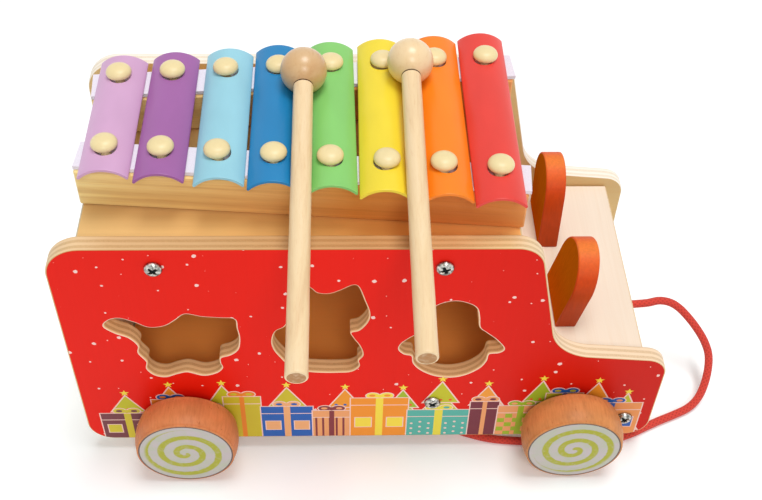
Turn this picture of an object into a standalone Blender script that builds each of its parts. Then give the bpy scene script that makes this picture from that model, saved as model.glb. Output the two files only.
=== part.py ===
"""Xylophone pull truck: a plywood pull-along truck with a xylophone on its roof and sorting holes in its sides.

Everything is in metres; MM turns a size in millimetres into one. X points to the bonnet, Y to the truck's
left, Z up. The floor is Z = 0, and the origin is on it, below the middle of everything but the pull cord.
The truck's right side is the one with the mallets' free ends.
"""

import math

import bmesh
import bpy
from mathutils import Matrix, Vector
from mathutils.geometry import tessellate_polygon

MM = 0.001

# Clearances
SEAT = 0.3 * MM  # left between pieces that touch
OVERRUN = 2 * MM  # how far a cut runs past what it cuts

# Side panels, in side view; heights are above the floor
PLY = 8.5 * MM
BODY_LENGTH = 300 * MM
BODY_WIDTH = 141.7 * MM
CLEARANCE_UNDER = 9.7 * MM
CAB_HEIGHT = 158.6 * MM
BONNET_LENGTH = 74.7 * MM  # from where the roof line meets the windscreen line to the nose
SCREEN_RAKE = math.radians(11.8)
BONNET_REAR_HEIGHT = 80.3 * MM
BONNET_NOSE_HEIGHT = 74.6 * MM
TAIL_FOOT_RADIUS = 13 * MM
CAB_REAR_RADIUS = 18 * MM
CAB_FRONT_RADIUS = 14 * MM
SCREEN_FILLET = 24 * MM
NOSE_RADIUS = 12 * MM
PANEL_RIM = 1.6 * MM  # rounding of the bare rim

# Boards between the panels
ROOF_RECESS = 8.5 * MM  # roof board below the panels' top edge, and screen board behind their front edge
BONNET_BOARD_TOP = 70.1 * MM
FLOOR_BOARD_TOP = 45.4 * MM
TAIL_OVERHANG = 12.5 * MM  # panels beyond the rear board
NOSE_OVERHANG = 10.5 * MM  # panels beyond the front board
FRONT_BOARD_FOOT = 14 * MM
REAR_BOARD_FOOT = 20 * MM
BOARD_EDGE = 0.8 * MM

# Sorting holes in each side panel, as shares of the cab's length and height: middle from the tail and from the
# floor, width, height
HOLE_SPOT_SHARES = {
    "bird": (0.23391, 0.562421, 0.281403, 0.307692),
    "boot": (0.550377, 0.633039, 0.207279, 0.41488),
    "hat": (0.83755, 0.581337, 0.229028, 0.372005),
}
# Their outlines, as shares of that width and height from the middle
HOLE_OUTLINE_SHARES = {
    "bird": [
        (-0.50, 0.32), (-0.45, 0.41), (-0.37, 0.43), (-0.27, 0.37), (-0.17, 0.29), (-0.05, 0.31),
        (0.04, 0.40), (0.12, 0.49), (0.24, 0.45), (0.38, 0.43), (0.48, 0.41), (0.49, 0.27),
        (0.50, 0.12), (0.48, -0.05), (0.42, -0.14), (0.34, -0.19), (0.33, -0.28), (0.34, -0.36),
        (0.29, -0.44), (0.19, -0.48), (0.07, -0.42), (-0.02, -0.45), (-0.11, -0.50), (-0.19, -0.47),
        (-0.24, -0.37), (-0.23, -0.25), (-0.28, -0.11), (-0.27, 0.01), (-0.33, 0.14), (-0.43, 0.22),
    ],
    "boot": [
        (-0.50, -0.12), (-0.48, -0.22), (-0.42, -0.31), (-0.32, -0.42), (-0.18, -0.48), (0.02, -0.50),
        (0.20, -0.50), (0.32, -0.49), (0.40, -0.43), (0.39, -0.36), (0.44, -0.29), (0.41, -0.19),
        (0.34, -0.09), (0.31, -0.02), (0.40, 0.01), (0.48, 0.10), (0.50, 0.20), (0.45, 0.34),
        (0.39, 0.48), (0.33, 0.50), (0.22, 0.45), (0.10, 0.41), (-0.02, 0.42), (-0.10, 0.48),
        (-0.18, 0.47), (-0.25, 0.34), (-0.29, 0.18), (-0.36, 0.05), (-0.46, -0.01),
    ],
    "hat": [
        (-0.50, -0.11), (-0.48, -0.04), (-0.41, 0.03), (-0.32, 0.10), (-0.25, 0.18), (-0.24, 0.32),
        (-0.19, 0.43), (-0.11, 0.48), (0.00, 0.50), (0.11, 0.47), (0.19, 0.41), (0.22, 0.30),
        (0.24, 0.17), (0.32, 0.09), (0.42, 0.00), (0.50, -0.11), (0.46, -0.16), (0.36, -0.18),
        (0.34, -0.28), (0.28, -0.38), (0.15, -0.47), (0.00, -0.50), (-0.15, -0.47), (-0.28, -0.39),
        (-0.35, -0.30), (-0.37, -0.20), (-0.45, -0.17),
    ],
}
HOLE_STEPS = 2  # points worked out for each one given

# Panel screws: pan heads
REAR_SCREWS = 49.2 * MM  # from the tail
FRONT_SCREWS = 43.7 * MM  # back from the cab's front corner
SCREW_HEAD_RADIUS = 4.3 * MM
SCREW_HEAD_HEIGHT = 2.2 * MM
SCREW_RADIUS = 1.75 * MM
SCREW_PLAY = 0.35 * MM
SCREW_LENGTH = 25 * MM
FRONT_SCREW_HEIGHT = 25.8 * MM

# Ear plates glued on the bonnet, with a round top; each stands a little askew
EAR_THICKNESS = 10.8 * MM
EAR_FOOT = 35.8 * MM
EAR_LOBE_RADIUS = 18 * MM
EAR_LOBE_HEIGHT = 24.6 * MM
EAR_EDGE = 0.8 * MM
EARS = {  # rear face ahead of the cab's front corner, middle of foot and lobe across the truck, forward lean
    "right": (20.2 * MM, -26.7 * MM, -27.9 * MM, math.radians(10.9)),
    "left": (18 * MM, 30.4 * MM, 36.9 * MM, math.radians(2.5)),
}

# Wheels and axles
WHEEL_RADIUS = 26.6 * MM
WHEEL_WIDTH = 18.7 * MM
WHEEL_FACE_RADIUS = 24.6 * MM
WHEEL_INNER_RADIUS = 25.4 * MM
WHEEL_GAP = 2.5 * MM  # between a wheel and its panel
WHEEL_SIDES = 32
AXLE_RADIUS = 4 * MM
AXLE_PLAY = 0.4 * MM  # in the panels
AXLE_FIT = 0.15 * MM  # in the wheels
AXLE_BITE = 12 * MM  # into each wheel
REAR_AXLE = 53.8 * MM  # from the tail
FRONT_AXLE = 44.5 * MM  # from the nose

# Xylophone
RAIL_WIDTH = 19 * MM
RAIL_HEIGHT = 21.2 * MM
RAIL_OVERHANG = 1.7 * MM  # rails beyond the roof board's front edge
RAIL_EDGE = 0.8 * MM
FELT_WIDTH = 17 * MM
FELT_THICKNESS = 2 * MM
FELT_OVERHANG = 1.2 * MM  # felt beyond the rails' front ends
SHORT_BAR_PEG = 15.6 * MM  # each peg from its end of the shortest bar
LONG_BAR_PEG = 20.2 * MM  # and of the longest
FIRST_BAR = 26.4 * MM  # middle of the shortest bar, from the tail
LAST_BAR_BACK = 18.6 * MM  # middle of the longest bar, back from the cab's front corner
BAR_GAP = 2.5 * MM  # between neighbours
BAR_HALF_ANGLE = math.radians(48)  # half of the arch that a bar's section spans
BAR_THICKNESS = 1.5 * MM
SHORT_BAR = 83 * MM
LONG_BAR = 121 * MM
BAR_STEPS = 8
BAR_HOLE_LENGTH = 10.8 * MM
BAR_HOLE_WIDTH = 10.2 * MM
PEG_HEAD_RADIUS = 6.2 * MM
PEG_HEAD_HEIGHT = 4.2 * MM
PEG_RADIUS = 2.4 * MM
PEG_PLAY = 0.2 * MM
PEG_BITE = 12 * MM  # into the rail

# Mallets, which lie in the valleys between bars, on the bars
MALLET_BALL_RADIUS = 11.3 * MM
MALLET_STICK_RADIUS = 4.75 * MM
MALLET_REACH = 170 * MM  # from the ball's middle to the stick's free end
MALLETS = {"rear": ("blue", 15 * MM), "front": ("yellow", 11.814 * MM)}  # bar behind it, ball inside the peg line

# Pull cord
CORD_RADIUS = 2.25 * MM
CORD_HOLE_PLAY = 0.35 * MM
CORD_HEIGHT = 40 * MM  # where it leaves the front board
CORD_OFFSET = -4 * MM
CORD_STEP = 10.5 * MM
CORD_ROUTE = [  # after the straight start, along the truck from its middle, across it, and up
    (149.0 * MM, -4.2 * MM, 40.4 * MM),
    (157.7 * MM, -3.8 * MM, 41.0 * MM),
    (164.4 * MM, -2.6 * MM, 41.5 * MM),
    (171.0 * MM, -2.7 * MM, 40.0 * MM),
    (176.4 * MM, -4.5 * MM, 37.3 * MM),
    (181.8 * MM, -7.7 * MM, 33.0 * MM),
    (186.8 * MM, -12.2 * MM, 28.5 * MM),
    (191.1 * MM, -17.3 * MM, 23.5 * MM),
    (193.6 * MM, -23.0 * MM, 18.3 * MM),
    (193.1 * MM, -29.7 * MM, 13.0 * MM),
    (190.3 * MM, -37.3 * MM, 8.0 * MM),
    (186.1 * MM, -43.7 * MM, 4.2 * MM),
    (179.9 * MM, -49.0 * MM, 2.6 * MM),
    (171.0 * MM, -53.4 * MM, 2.25 * MM),
    (162.4 * MM, -57.1 * MM, 2.25 * MM),
    (153.1 * MM, -61.5 * MM, 2.25 * MM),
    (144.5 * MM, -65.7 * MM, 2.25 * MM),
    (135.6 * MM, -68.7 * MM, 2.25 * MM),
    (122.0 * MM, -70.3 * MM, 2.25 * MM),
    (103.0 * MM, -70.6 * MM, 2.25 * MM),
    (82.2 * MM, -70.0 * MM, 2.25 * MM),
    (64.0 * MM, -67.8 * MM, 2.25 * MM),
    (47.0 * MM, -61.8 * MM, 2.25 * MM),
    (32.0 * MM, -52.6 * MM, 2.25 * MM),
    (18.0 * MM, -44.6 * MM, 2.25 * MM),
]
COIL_START = (0 * MM, -41.0 * MM)
COIL_RADIUS = 25 * MM  # at the middle of its turns
COIL_GAP = 0.5 * MM
COIL_TURNS = 1  # in each of its two layers
COIL_POINTS = 24  # to a turn
COIL_TAIL = 24 * MM
KNOT_LENGTH = 12 * MM
KNOT_TAIL = 7 * MM

# What each finish looks like: sRGB colour, roughness, metallic
LOOKS = {
    "printed_ply": ("E4312A", 0.45, 0.0),
    "ply": ("F1DCB8", 0.6, 0.0),
    "beech": ("D9A064", 0.6, 0.0),
    "beech_pale": ("F3DFB4", 0.5, 0.0),
    "wheel_wood": ("D98B5E", 0.55, 0.0),
    "orange_paint": ("E0602B", 0.45, 0.0),
    "felt": ("E5E1F0", 0.95, 0.0),
    "zinc": ("C9C9C6", 0.3, 1.0),
    "cord": ("E83428", 0.85, 0.0),
    "lilac": ("DBAED6", 0.4, 0.0),
    "purple": ("A868AE", 0.4, 0.0),
    "sky": ("A0DCEA", 0.4, 0.0),
    "blue": ("2B86CC", 0.4, 0.0),
    "green": ("8BD375", 0.4, 0.0),
    "yellow": ("F8E13A", 0.4, 0.0),
    "orange": ("F98A2B", 0.4, 0.0),
    "red": ("F8564A", 0.4, 0.0),
}
BAR_COLOURS = ["lilac", "purple", "sky", "blue", "green", "yellow", "orange", "red"]  # shortest first

# Places that follow from the sizes
TAIL = -BODY_LENGTH / 2
NOSE = BODY_LENGTH / 2
CAB_LENGTH = BODY_LENGTH - BONNET_LENGTH
CAB_FRONT = TAIL + CAB_LENGTH
PANEL_INSIDE = BODY_WIDTH / 2 - PLY
BOARD_HALF_WIDTH = PANEL_INSIDE - SEAT
ROOF_TOP = CAB_HEIGHT - ROOF_RECESS
ROOF_BOTTOM = ROOF_TOP - PLY
REAR_FACE = TAIL + TAIL_OVERHANG
FRONT_FACE = NOSE - NOSE_OVERHANG
BONNET_BOTTOM = BONNET_BOARD_TOP - PLY
AXLE_HEIGHT = WHEEL_RADIUS
WHEEL_START = BODY_WIDTH / 2 + WHEEL_GAP
WHEEL_END = WHEEL_START + WHEEL_WIDTH
FELT_TOP = ROOF_TOP + SEAT + RAIL_HEIGHT + SEAT + FELT_THICKNESS
BAR_PITCH = (CAB_LENGTH - FIRST_BAR - LAST_BAR_BACK) / (len(BAR_COLOURS) - 1)
BAR_WIDTH = BAR_PITCH - BAR_GAP
BAR_ARCH_RADIUS = BAR_WIDTH / 2 / math.sin(BAR_HALF_ANGLE)
BAR_RISE = BAR_ARCH_RADIUS - (BAR_ARCH_RADIUS - BAR_THICKNESS) * math.cos(BAR_HALF_ANGLE)
BAR_CROWN = FELT_TOP + SEAT + BAR_RISE
NEAR_PEG_LINE = SHORT_BAR / 2 - SHORT_BAR_PEG  # the shortest bar's pegs from the truck's middle
FAR_PEG_LINE = LONG_BAR / 2 - LONG_BAR_PEG  # and the longest one's
RAIL_SLOPE = (FAR_PEG_LINE - NEAR_PEG_LINE) / (CAB_LENGTH - FIRST_BAR - LAST_BAR_BACK)
RAIL_ANGLE = math.atan(RAIL_SLOPE)


def screen_line(height, back=0.0):
    """X of the panels' front edge at a height, or of a plane that lies back behind it."""
    return CAB_FRONT + (CAB_HEIGHT - height) * math.tan(SCREEN_RAKE) - back / math.cos(SCREEN_RAKE)


ROOF_FRONT = screen_line(ROOF_TOP, ROOF_RECESS)


def rail_line(x):
    """Distance of a rail's middle line from the truck's middle, at x."""
    return NEAR_PEG_LINE + (x - TAIL - FIRST_BAR) * RAIL_SLOPE


def bar_x(number):
    """X of a bar's middle; bar 0 is the shortest."""
    return TAIL + FIRST_BAR + BAR_PITCH * number


def bar_length(number):
    return SHORT_BAR + (LONG_BAR - SHORT_BAR) * number / (len(BAR_COLOURS) - 1)


def valley_height(radius):
    """Height of the middle of a round thing that lies on two neighbouring bars, clear of them by SEAT."""
    reach = BAR_ARCH_RADIUS + radius + SEAT
    return BAR_CROWN - BAR_ARCH_RADIUS + math.sqrt(reach**2 - (BAR_PITCH / 2) ** 2)


def mallet_pose(colour, inside):
    """A mallet's ball middle and the stick's slope: it lies on the ball and on the longer bar's near end."""
    bar = BAR_COLOURS.index(colour)
    x = bar_x(bar) + BAR_PITCH / 2
    across = rail_line(x) - inside
    rest_y = -bar_length(bar + 1) / 2
    ball_z = valley_height(MALLET_BALL_RADIUS)
    slope = math.atan((ball_z - valley_height(MALLET_STICK_RADIUS)) / (across - rest_y))
    return Vector((x, across, ball_z)), slope


def near_reach():
    """The furthest that a mallet's free end comes out over the truck's right side."""
    ends = []
    for colour, inside in MALLETS.values():
        spot, slope = mallet_pose(colour, inside)
        ends.append(MALLET_REACH * math.cos(slope) + MALLET_STICK_RADIUS * math.sin(slope) - spot.y)
    return max(ends)


MIDDLE_Y = (WHEEL_END - near_reach()) / 2  # middle of everything across the truck, from its own mid plane


def clear_scene():
    for thing in list(bpy.data.objects):
        bpy.data.objects.remove(thing, do_unlink=True)


def srgb(hexcode):
    """Linear colour from an sRGB hex code."""
    out = []
    for k in (0, 2, 4):
        c = int(hexcode[k : k + 2], 16) / 255
        out.append(c / 12.92 if c <= 0.04045 else ((c + 0.055) / 1.055) ** 2.4)
    return (*out, 1.0)


def material(name, look):
    colour, roughness, metallic = LOOKS[look]
    made = bpy.data.materials.new(name)
    made.use_nodes = True
    shader = made.node_tree.nodes["Principled BSDF"]
    shader.inputs["Base Color"].default_value = srgb(colour)
    shader.inputs["Roughness"].default_value = roughness
    shader.inputs["Metallic"].default_value = metallic
    made.diffuse_color = srgb(colour)
    return made


def empty(name, location, parent=None):
    made = bpy.data.objects.new(name, None)
    bpy.context.scene.collection.objects.link(made)
    made.location = location
    made.parent = parent
    return made


def place(name, mesh, look, parent, location=(0, 0, 0), rotation=(0, 0, 0), smooth=None):
    """Put a mesh into the scene as a named piece with its own material."""
    mesh.name = name
    made = bpy.data.objects.new(name, mesh)
    bpy.context.scene.collection.objects.link(made)
    mesh.materials.clear()
    mesh.materials.append(material(name, look))
    made.parent = parent
    made.location = location
    made.rotation_euler = rotation
    if smooth is not None:
        mesh.shade_smooth()
        mesh.set_sharp_from_angle(angle=smooth)
    return made


def to_mesh(bm):
    """A mesh from a closed bmesh, with its faces turned outwards."""
    bmesh.ops.recalc_face_normals(bm, faces=bm.faces)
    mesh = bpy.data.meshes.new("mesh")
    bm.to_mesh(mesh)
    bm.free()
    return mesh


def repeated(mesh, placings):
    """One mesh with a separate copy of a mesh at each placing."""
    bm = bmesh.new()
    for matrix in placings:
        copy = mesh.copy()
        copy.transform(matrix)
        bm.from_mesh(copy)
        bpy.data.meshes.remove(copy)
    return to_mesh(bm)


def turned(profile, sides):
    """A body turned about Z from (radius, height) points, bottom to top; a radius of 0 is a pole."""
    bm = bmesh.new()
    rings = []
    for radius, height in profile:
        if radius == 0:
            rings.append([bm.verts.new((0, 0, height))])
            continue
        ring = []
        for k in range(sides):
            angle = 2 * math.pi * (k + 0.5) / sides
            ring.append(bm.verts.new((radius * math.cos(angle), radius * math.sin(angle), height)))
        rings.append(ring)
    for low, high in zip(rings, rings[1:]):
        for k in range(sides):
            n = (k + 1) % sides
            around = [low[k % len(low)], low[n % len(low)], high[n % len(high)], high[k % len(high)]]
            bm.faces.new(list(dict.fromkeys(around)))
    for end in (rings[0], rings[-1]):
        if len(end) > 1:
            bm.faces.new(end)
    return to_mesh(bm)


def flats(radius, sides):
    """Corner radius of a polygon whose flats lie at a radius."""
    return radius / math.cos(math.pi / sides)


def rod(radius, start, end, sides, edge=0.0):
    """A round rod along Z with its two ends chamfered by edge."""
    return turned([(radius - edge, start), (radius, start + edge), (radius, end - edge), (radius - edge, end)]
                  if edge else [(radius, start), (radius, end)], sides)


def block(x, y, z, edge, name, look, parent):
    """A board between pairs of X, Y and Z limits, with its edges eased."""
    bm = bmesh.new()
    bmesh.ops.create_cube(bm, size=1)
    size = Vector((x[1] - x[0], y[1] - y[0], z[1] - z[0]))
    bmesh.ops.scale(bm, vec=size, verts=bm.verts)
    middle = ((x[0] + x[1]) / 2, (y[0] + y[1]) / 2, (z[0] + z[1]) / 2)
    made = place(name, to_mesh(bm), look, parent, middle)
    ease(made, edge)
    return made


def prism(outline, low, high):
    """A solid between two heights whose plan is a list of (x, y) corners."""
    bm = bmesh.new()
    rings = [[bm.verts.new((x, y, z)) for x, y in outline] for z in (low, high)]
    count = len(outline)
    for k in range(count):
        n = (k + 1) % count
        bm.faces.new((rings[0][k], rings[0][n], rings[1][n], rings[1][k]))
    bm.faces.new(rings[0])
    bm.faces.new(rings[1])
    return to_mesh(bm)


def ease(made, width):
    """A small chamfer on every edge."""
    bevel = made.modifiers.new("edges", "BEVEL")
    bevel.width = width
    bevel.segments = 1
    bevel.limit_method = "ANGLE"
    bevel.angle_limit = math.radians(40)


def cut(made, mesh, location=(0, 0, 0), rotation=(0, 0, 0)):
    """Cut a mesh, given in the truck's frame, out of a piece."""
    cutter = bpy.data.objects.new(made.name + ".cut", mesh)
    bpy.context.scene.collection.objects.link(cutter)
    cutter.parent = made.parent
    cutter.location = location
    cutter.rotation_euler = rotation
    cutter.hide_render = True
    cutter.display_type = "WIRE"
    boolean = made.modifiers.new("cut", "BOOLEAN")
    boolean.operation = "DIFFERENCE"
    boolean.solver = "EXACT"
    boolean.object = cutter


def filleted(corners, step):
    """Outline through (x, z, radius) corners with each one rounded, a point every step of angle or so."""
    out = []
    for k, (x, z, radius) in enumerate(corners):
        here = Vector((x, z))
        before = (Vector(corners[k - 1][:2]) - here).normalized()
        after = (Vector(corners[(k + 1) % len(corners)][:2]) - here).normalized()
        half = before.angle(after) / 2
        centre = here + (before + after).normalized() * radius / math.sin(half)
        first = here + before * radius / math.tan(half) - centre
        last = here + after * radius / math.tan(half) - centre
        sweep = first.angle_signed(last)
        count = max(2, math.ceil(abs(sweep) / step))
        for j in range(count + 1):
            turn = Matrix.Rotation(-sweep * j / count, 2)
            out.append(tuple(centre + turn @ first))
    return out


def smooth_loop(points, steps):
    """Closed smooth curve through points (Catmull-Rom), with so many steps from each to the next."""
    out = []
    count = len(points)
    for k in range(count):
        a, b, c, d = (Vector(points[(k + j) % count]) for j in (-1, 0, 1, 2))
        for j in range(steps):
            t = j / steps
            out.append(tuple(
                (b * 2 + (c - a) * t + (a * 2 - b * 5 + c * 4 - d) * t**2 + (b * 3 - a - c * 3 + d) * t**3) / 2
            ))
    return out


def shifted(outline, inward):
    """The outline moved in by a distance, each point along its own normal."""
    area = sum(a[0] * b[1] - b[0] * a[1] for a, b in zip(outline, outline[1:] + outline[:1]))
    side = 1 if area > 0 else -1
    out = []
    for k, point in enumerate(outline):
        before = (Vector(point) - Vector(outline[k - 1])).normalized()
        after = (Vector(outline[(k + 1) % len(outline)]) - Vector(point)).normalized()
        along = (before + after).normalized()
        normal = Vector((-along.y, along.x)) * side
        out.append(tuple(Vector(point) + normal * inward / max(0.5, along.dot(before))))
    return out


def plate(outline, holes, thickness, edge, steps):
    """A flat plate in the XZ plane, its middle at Y = 0, with through holes and a rounded outer rim."""
    bm = bmesh.new()
    half = thickness / 2

    def wall(rings):
        made = [[bm.verts.new((x, y, z)) for x, z in ring] for ring, y in rings]
        for low, high in zip(made, made[1:]):
            for k in range(len(low)):
                n = (k + 1) % len(low)
                bm.faces.new((low[k], low[n], high[n], high[k]))
        return made[0], made[-1]

    rim = []
    for k in range(steps + 1):
        angle = math.pi / 2 * k / steps
        rim.append((edge * (1 - math.sin(angle)), half - edge * (1 - math.cos(angle))))
    rings = [(shifted(outline, inward), -y) for inward, y in rim]
    rings += [(shifted(outline, inward), y) for inward, y in reversed(rim)]
    ends = [wall(rings)] + [wall([(hole, -half), (hole, half)]) for hole in holes]
    for side in (0, 1):
        loops = [end[side] for end in ends]
        flat = [vert for loop in loops for vert in loop]
        for three in tessellate_polygon([[v.co.xzy for v in loop] for loop in loops]):
            bm.faces.new([flat[k] for k in three])
    return to_mesh(bm)


def ring(x, z, radius, sides):
    """A round hole's outline whose flats lie at the radius."""
    corner = flats(radius, sides)
    turns = [2 * math.pi * k / sides for k in range(sides)]
    return [(x + corner * math.cos(t), z + corner * math.sin(t)) for t in turns]


def screw_places():
    """Name, x and z of each panel screw: in the roof board, the floor board and the front board."""
    places = []
    for end, x in (("rear", TAIL + REAR_SCREWS), ("front", CAB_FRONT - FRONT_SCREWS)):
        places.append((f"roof_{end}", x, ROOF_TOP - PLY / 2))
        places.append((f"floor_{end}", x, FLOOR_BOARD_TOP - PLY / 2))
    places.append(("nose", FRONT_FACE - PLY / 2, FRONT_SCREW_HEIGHT))
    return places


def panel_outline():
    fold = screen_line(BONNET_REAR_HEIGHT)
    return filleted(
        [
            (TAIL, CLEARANCE_UNDER, TAIL_FOOT_RADIUS),
            (TAIL, CAB_HEIGHT, CAB_REAR_RADIUS),
            (CAB_FRONT, CAB_HEIGHT, CAB_FRONT_RADIUS),
            (fold, BONNET_REAR_HEIGHT, SCREEN_FILLET),
            (NOSE, BONNET_NOSE_HEIGHT, NOSE_RADIUS),
            (NOSE, CLEARANCE_UNDER, NOSE_RADIUS),
        ],
        math.radians(13),
    )


def sorting_holes():
    out = []
    for name, (along, height, width, tall) in HOLE_SPOT_SHARES.items():
        points = []
        for u, v in HOLE_OUTLINE_SHARES[name]:
            points.append((TAIL + (along + u * width) * CAB_LENGTH, (height + v * tall) * CAB_HEIGHT))
        out.append(smooth_loop(points, HOLE_STEPS))
    return out


def build_panels(truck):
    holes = sorting_holes()
    holes += [ring(x, z, SCREW_RADIUS + SCREW_PLAY, 10) for _, x, z in screw_places()]
    holes += [ring(x, AXLE_HEIGHT, AXLE_RADIUS + AXLE_PLAY, 20) for x in (TAIL + REAR_AXLE, NOSE - FRONT_AXLE)]
    for side, way in (("right", -1), ("left", 1)):
        mesh = plate(panel_outline(), holes, PLY, PANEL_RIM, 2)
        place(f"side_panel_{side}", mesh, "printed_ply", truck, (0, way * (PANEL_INSIDE + PLY / 2), 0))


def pilot_holes(made, board):
    """Blind screw holes into both ends of a board, for the screws whose names start with its name."""
    radius = flats(SCREW_RADIUS + SCREW_PLAY, 8)
    depth = SCREW_LENGTH - PLY + OVERRUN
    drill = rod(radius, BOARD_HALF_WIDTH - depth, BOARD_HALF_WIDTH + OVERRUN, 8)
    placings = []
    for name, x, z in screw_places():
        for way in (-1, 1):
            if name.startswith(board):
                placings.append(Matrix.Translation((x, 0, z)) @ Matrix.Rotation(-way * math.pi / 2, 4, "X"))
    cut(made, repeated(drill, placings))


def build_boards(truck):
    wide = (-BOARD_HALF_WIDTH, BOARD_HALF_WIDTH)
    roof = block((REAR_FACE, ROOF_FRONT), wide, (ROOF_BOTTOM, ROOF_TOP), BOARD_EDGE, "roof_board", "ply", truck)
    pilot_holes(roof, "roof")
    inside_rear = REAR_FACE + PLY
    floor = block((inside_rear + SEAT, ROOF_FRONT), wide, (FLOOR_BOARD_TOP - PLY, FLOOR_BOARD_TOP),
                  BOARD_EDGE, "floor_board", "ply", truck)
    pilot_holes(floor, "floor")
    block((REAR_FACE, inside_rear), wide, (REAR_BOARD_FOOT, ROOF_BOTTOM - SEAT),
          BOARD_EDGE, "rear_board", "ply", truck)
    front = block((FRONT_FACE - PLY, FRONT_FACE), wide, (FRONT_BOARD_FOOT, BONNET_BOTTOM - SEAT),
                  BOARD_EDGE, "front_board", "ply", truck)
    pilot_holes(front, "nose")
    hole = rod(flats(CORD_RADIUS + CORD_HOLE_PLAY, 12), -PLY - OVERRUN, OVERRUN, 12)
    cut(front, hole, (FRONT_FACE, CORD_OFFSET, CORD_HEIGHT), (0, math.pi / 2, 0))

    foot = BONNET_BOARD_TOP + SEAT
    head = ROOF_BOTTOM - SEAT
    profile = [
        (screen_line(foot, ROOF_RECESS), foot),
        (screen_line(head, ROOF_RECESS), head),
        (screen_line(head, ROOF_RECESS + PLY), head),
        (screen_line(foot, ROOF_RECESS + PLY), foot),
    ]
    screen = prism([(x, -z) for x, z in profile], -BOARD_HALF_WIDTH, BOARD_HALF_WIDTH)
    ease(place("windscreen_board", screen, "ply", truck, (0, 0, 0), (-math.pi / 2, 0, 0)), BOARD_EDGE)
    block((profile[3][0], FRONT_FACE), wide, (BONNET_BOTTOM, BONNET_BOARD_TOP),
          BOARD_EDGE, "bonnet_board", "ply", truck)


def build_screws(truck):
    top = SEAT + SCREW_HEAD_HEIGHT
    profile = [
        (0, SEAT - SCREW_LENGTH),
        (SCREW_RADIUS, SEAT - SCREW_LENGTH + SCREW_RADIUS),
        (SCREW_RADIUS, SEAT),
        (SCREW_HEAD_RADIUS, SEAT),
        (SCREW_HEAD_RADIUS, SEAT + SCREW_HEAD_HEIGHT * 0.35),
        (SCREW_HEAD_RADIUS * 0.72, SEAT + SCREW_HEAD_HEIGHT * 0.85),
        (0, top),
    ]
    screw = turned(profile, 10)
    for side, way in (("right", -1), ("left", 1)):
        for name, x, z in screw_places():
            spot = (x, way * BODY_WIDTH / 2, z)
            turn = (-way * math.pi / 2, 0, 0)
            place(f"screw_{name}_{side}", screw.copy(), "zinc", truck, spot, turn, math.radians(40))


def ear_outline(shift):
    """A foot on the bonnet and a round lobe, its middle shifted sideways, joined by tangent lines."""
    lobe = Vector((shift, EAR_LOBE_HEIGHT))
    ends = []
    for way in (1, -1):
        away = Vector((way * EAR_FOOT / 2, 0)) - lobe
        ends.append(math.atan2(away.y, away.x) + way * math.acos(EAR_LOBE_RADIUS / away.length))
    sweep = ends[1] + 2 * math.pi - ends[0]
    outline = [(-EAR_FOOT / 2, 0), (EAR_FOOT / 2, 0)]
    for k in range(17):
        angle = ends[0] + sweep * k / 16
        outline.append((lobe.x + EAR_LOBE_RADIUS * math.cos(angle), lobe.y + EAR_LOBE_RADIUS * math.sin(angle)))
    return outline


def build_ears(truck):
    """Two plates that stand across the bonnet, sheared forward so that their feet lie flat on it."""
    for side, (rear, foot, lobe, lean) in EARS.items():
        mesh = plate(ear_outline(lobe - foot), [], EAR_THICKNESS, EAR_EDGE, 1)
        forward = Matrix.Identity(4)
        forward[1][2] = -math.tan(lean)
        mesh.transform(forward)
        spot = (CAB_FRONT + rear + EAR_THICKNESS / 2, foot, BONNET_BOARD_TOP + SEAT)
        place(f"bonnet_ear_{side}", mesh, "orange_paint", truck, spot, (0, 0, math.pi / 2))


def build_wheels(truck):
    """Two axles, each turning as one with its two wheels."""
    inner = [(AXLE_RADIUS + AXLE_FIT, AXLE_BITE + SEAT), (AXLE_RADIUS + AXLE_FIT, 0)]
    inner = [(flats(radius, WHEEL_SIDES), height) for radius, height in inner]
    body = [
        (WHEEL_INNER_RADIUS - PANEL_RIM, 0),
        (WHEEL_INNER_RADIUS, WHEEL_WIDTH * 0.08),
        (WHEEL_RADIUS, WHEEL_WIDTH * 0.34),
        (WHEEL_RADIUS, WHEEL_WIDTH * 0.62),
        ((WHEEL_RADIUS + WHEEL_FACE_RADIUS) / 2, WHEEL_WIDTH * 0.86),
        (WHEEL_FACE_RADIUS, WHEEL_WIDTH),
    ]
    body = [(flats(radius, WHEEL_SIDES), height) for radius, height in body]
    wheel = turned([(0, AXLE_BITE + SEAT)] + inner + body, WHEEL_SIDES)
    reach = WHEEL_START + AXLE_BITE
    for end, x in (("rear", TAIL + REAR_AXLE), ("front", NOSE - FRONT_AXLE)):
        hub = empty(f"{end}_axle_line", (x, 0, AXLE_HEIGHT), truck)
        axle = rod(AXLE_RADIUS, -reach, reach, 16, AXLE_FIT)
        place(f"axle_{end}", axle, "beech_pale", hub, (0, 0, 0), (math.pi / 2, 0, 0), math.radians(40))
        for side, way in (("right", -1), ("left", 1)):
            turn = (-way * math.pi / 2, 0, 0)
            spot = (0, way * WHEEL_START, 0)
            place(f"wheel_{end}_{side}", wheel.copy(), "wheel_wood", hub, spot, turn, math.radians(40))


def along_rail(way, width, start, end, low, high):
    """A straight strip on a rail's line between two X limits and two heights."""
    middle = (start + end) / 2
    length = (end - start) / math.cos(RAIL_ANGLE)
    bm = bmesh.new()
    bmesh.ops.create_cube(bm, size=1)
    bmesh.ops.scale(bm, vec=(length, width, high - low), verts=bm.verts)
    spot = (middle, way * rail_line(middle), (low + high) / 2)
    return to_mesh(bm), spot, (0, 0, way * RAIL_ANGLE)


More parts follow.
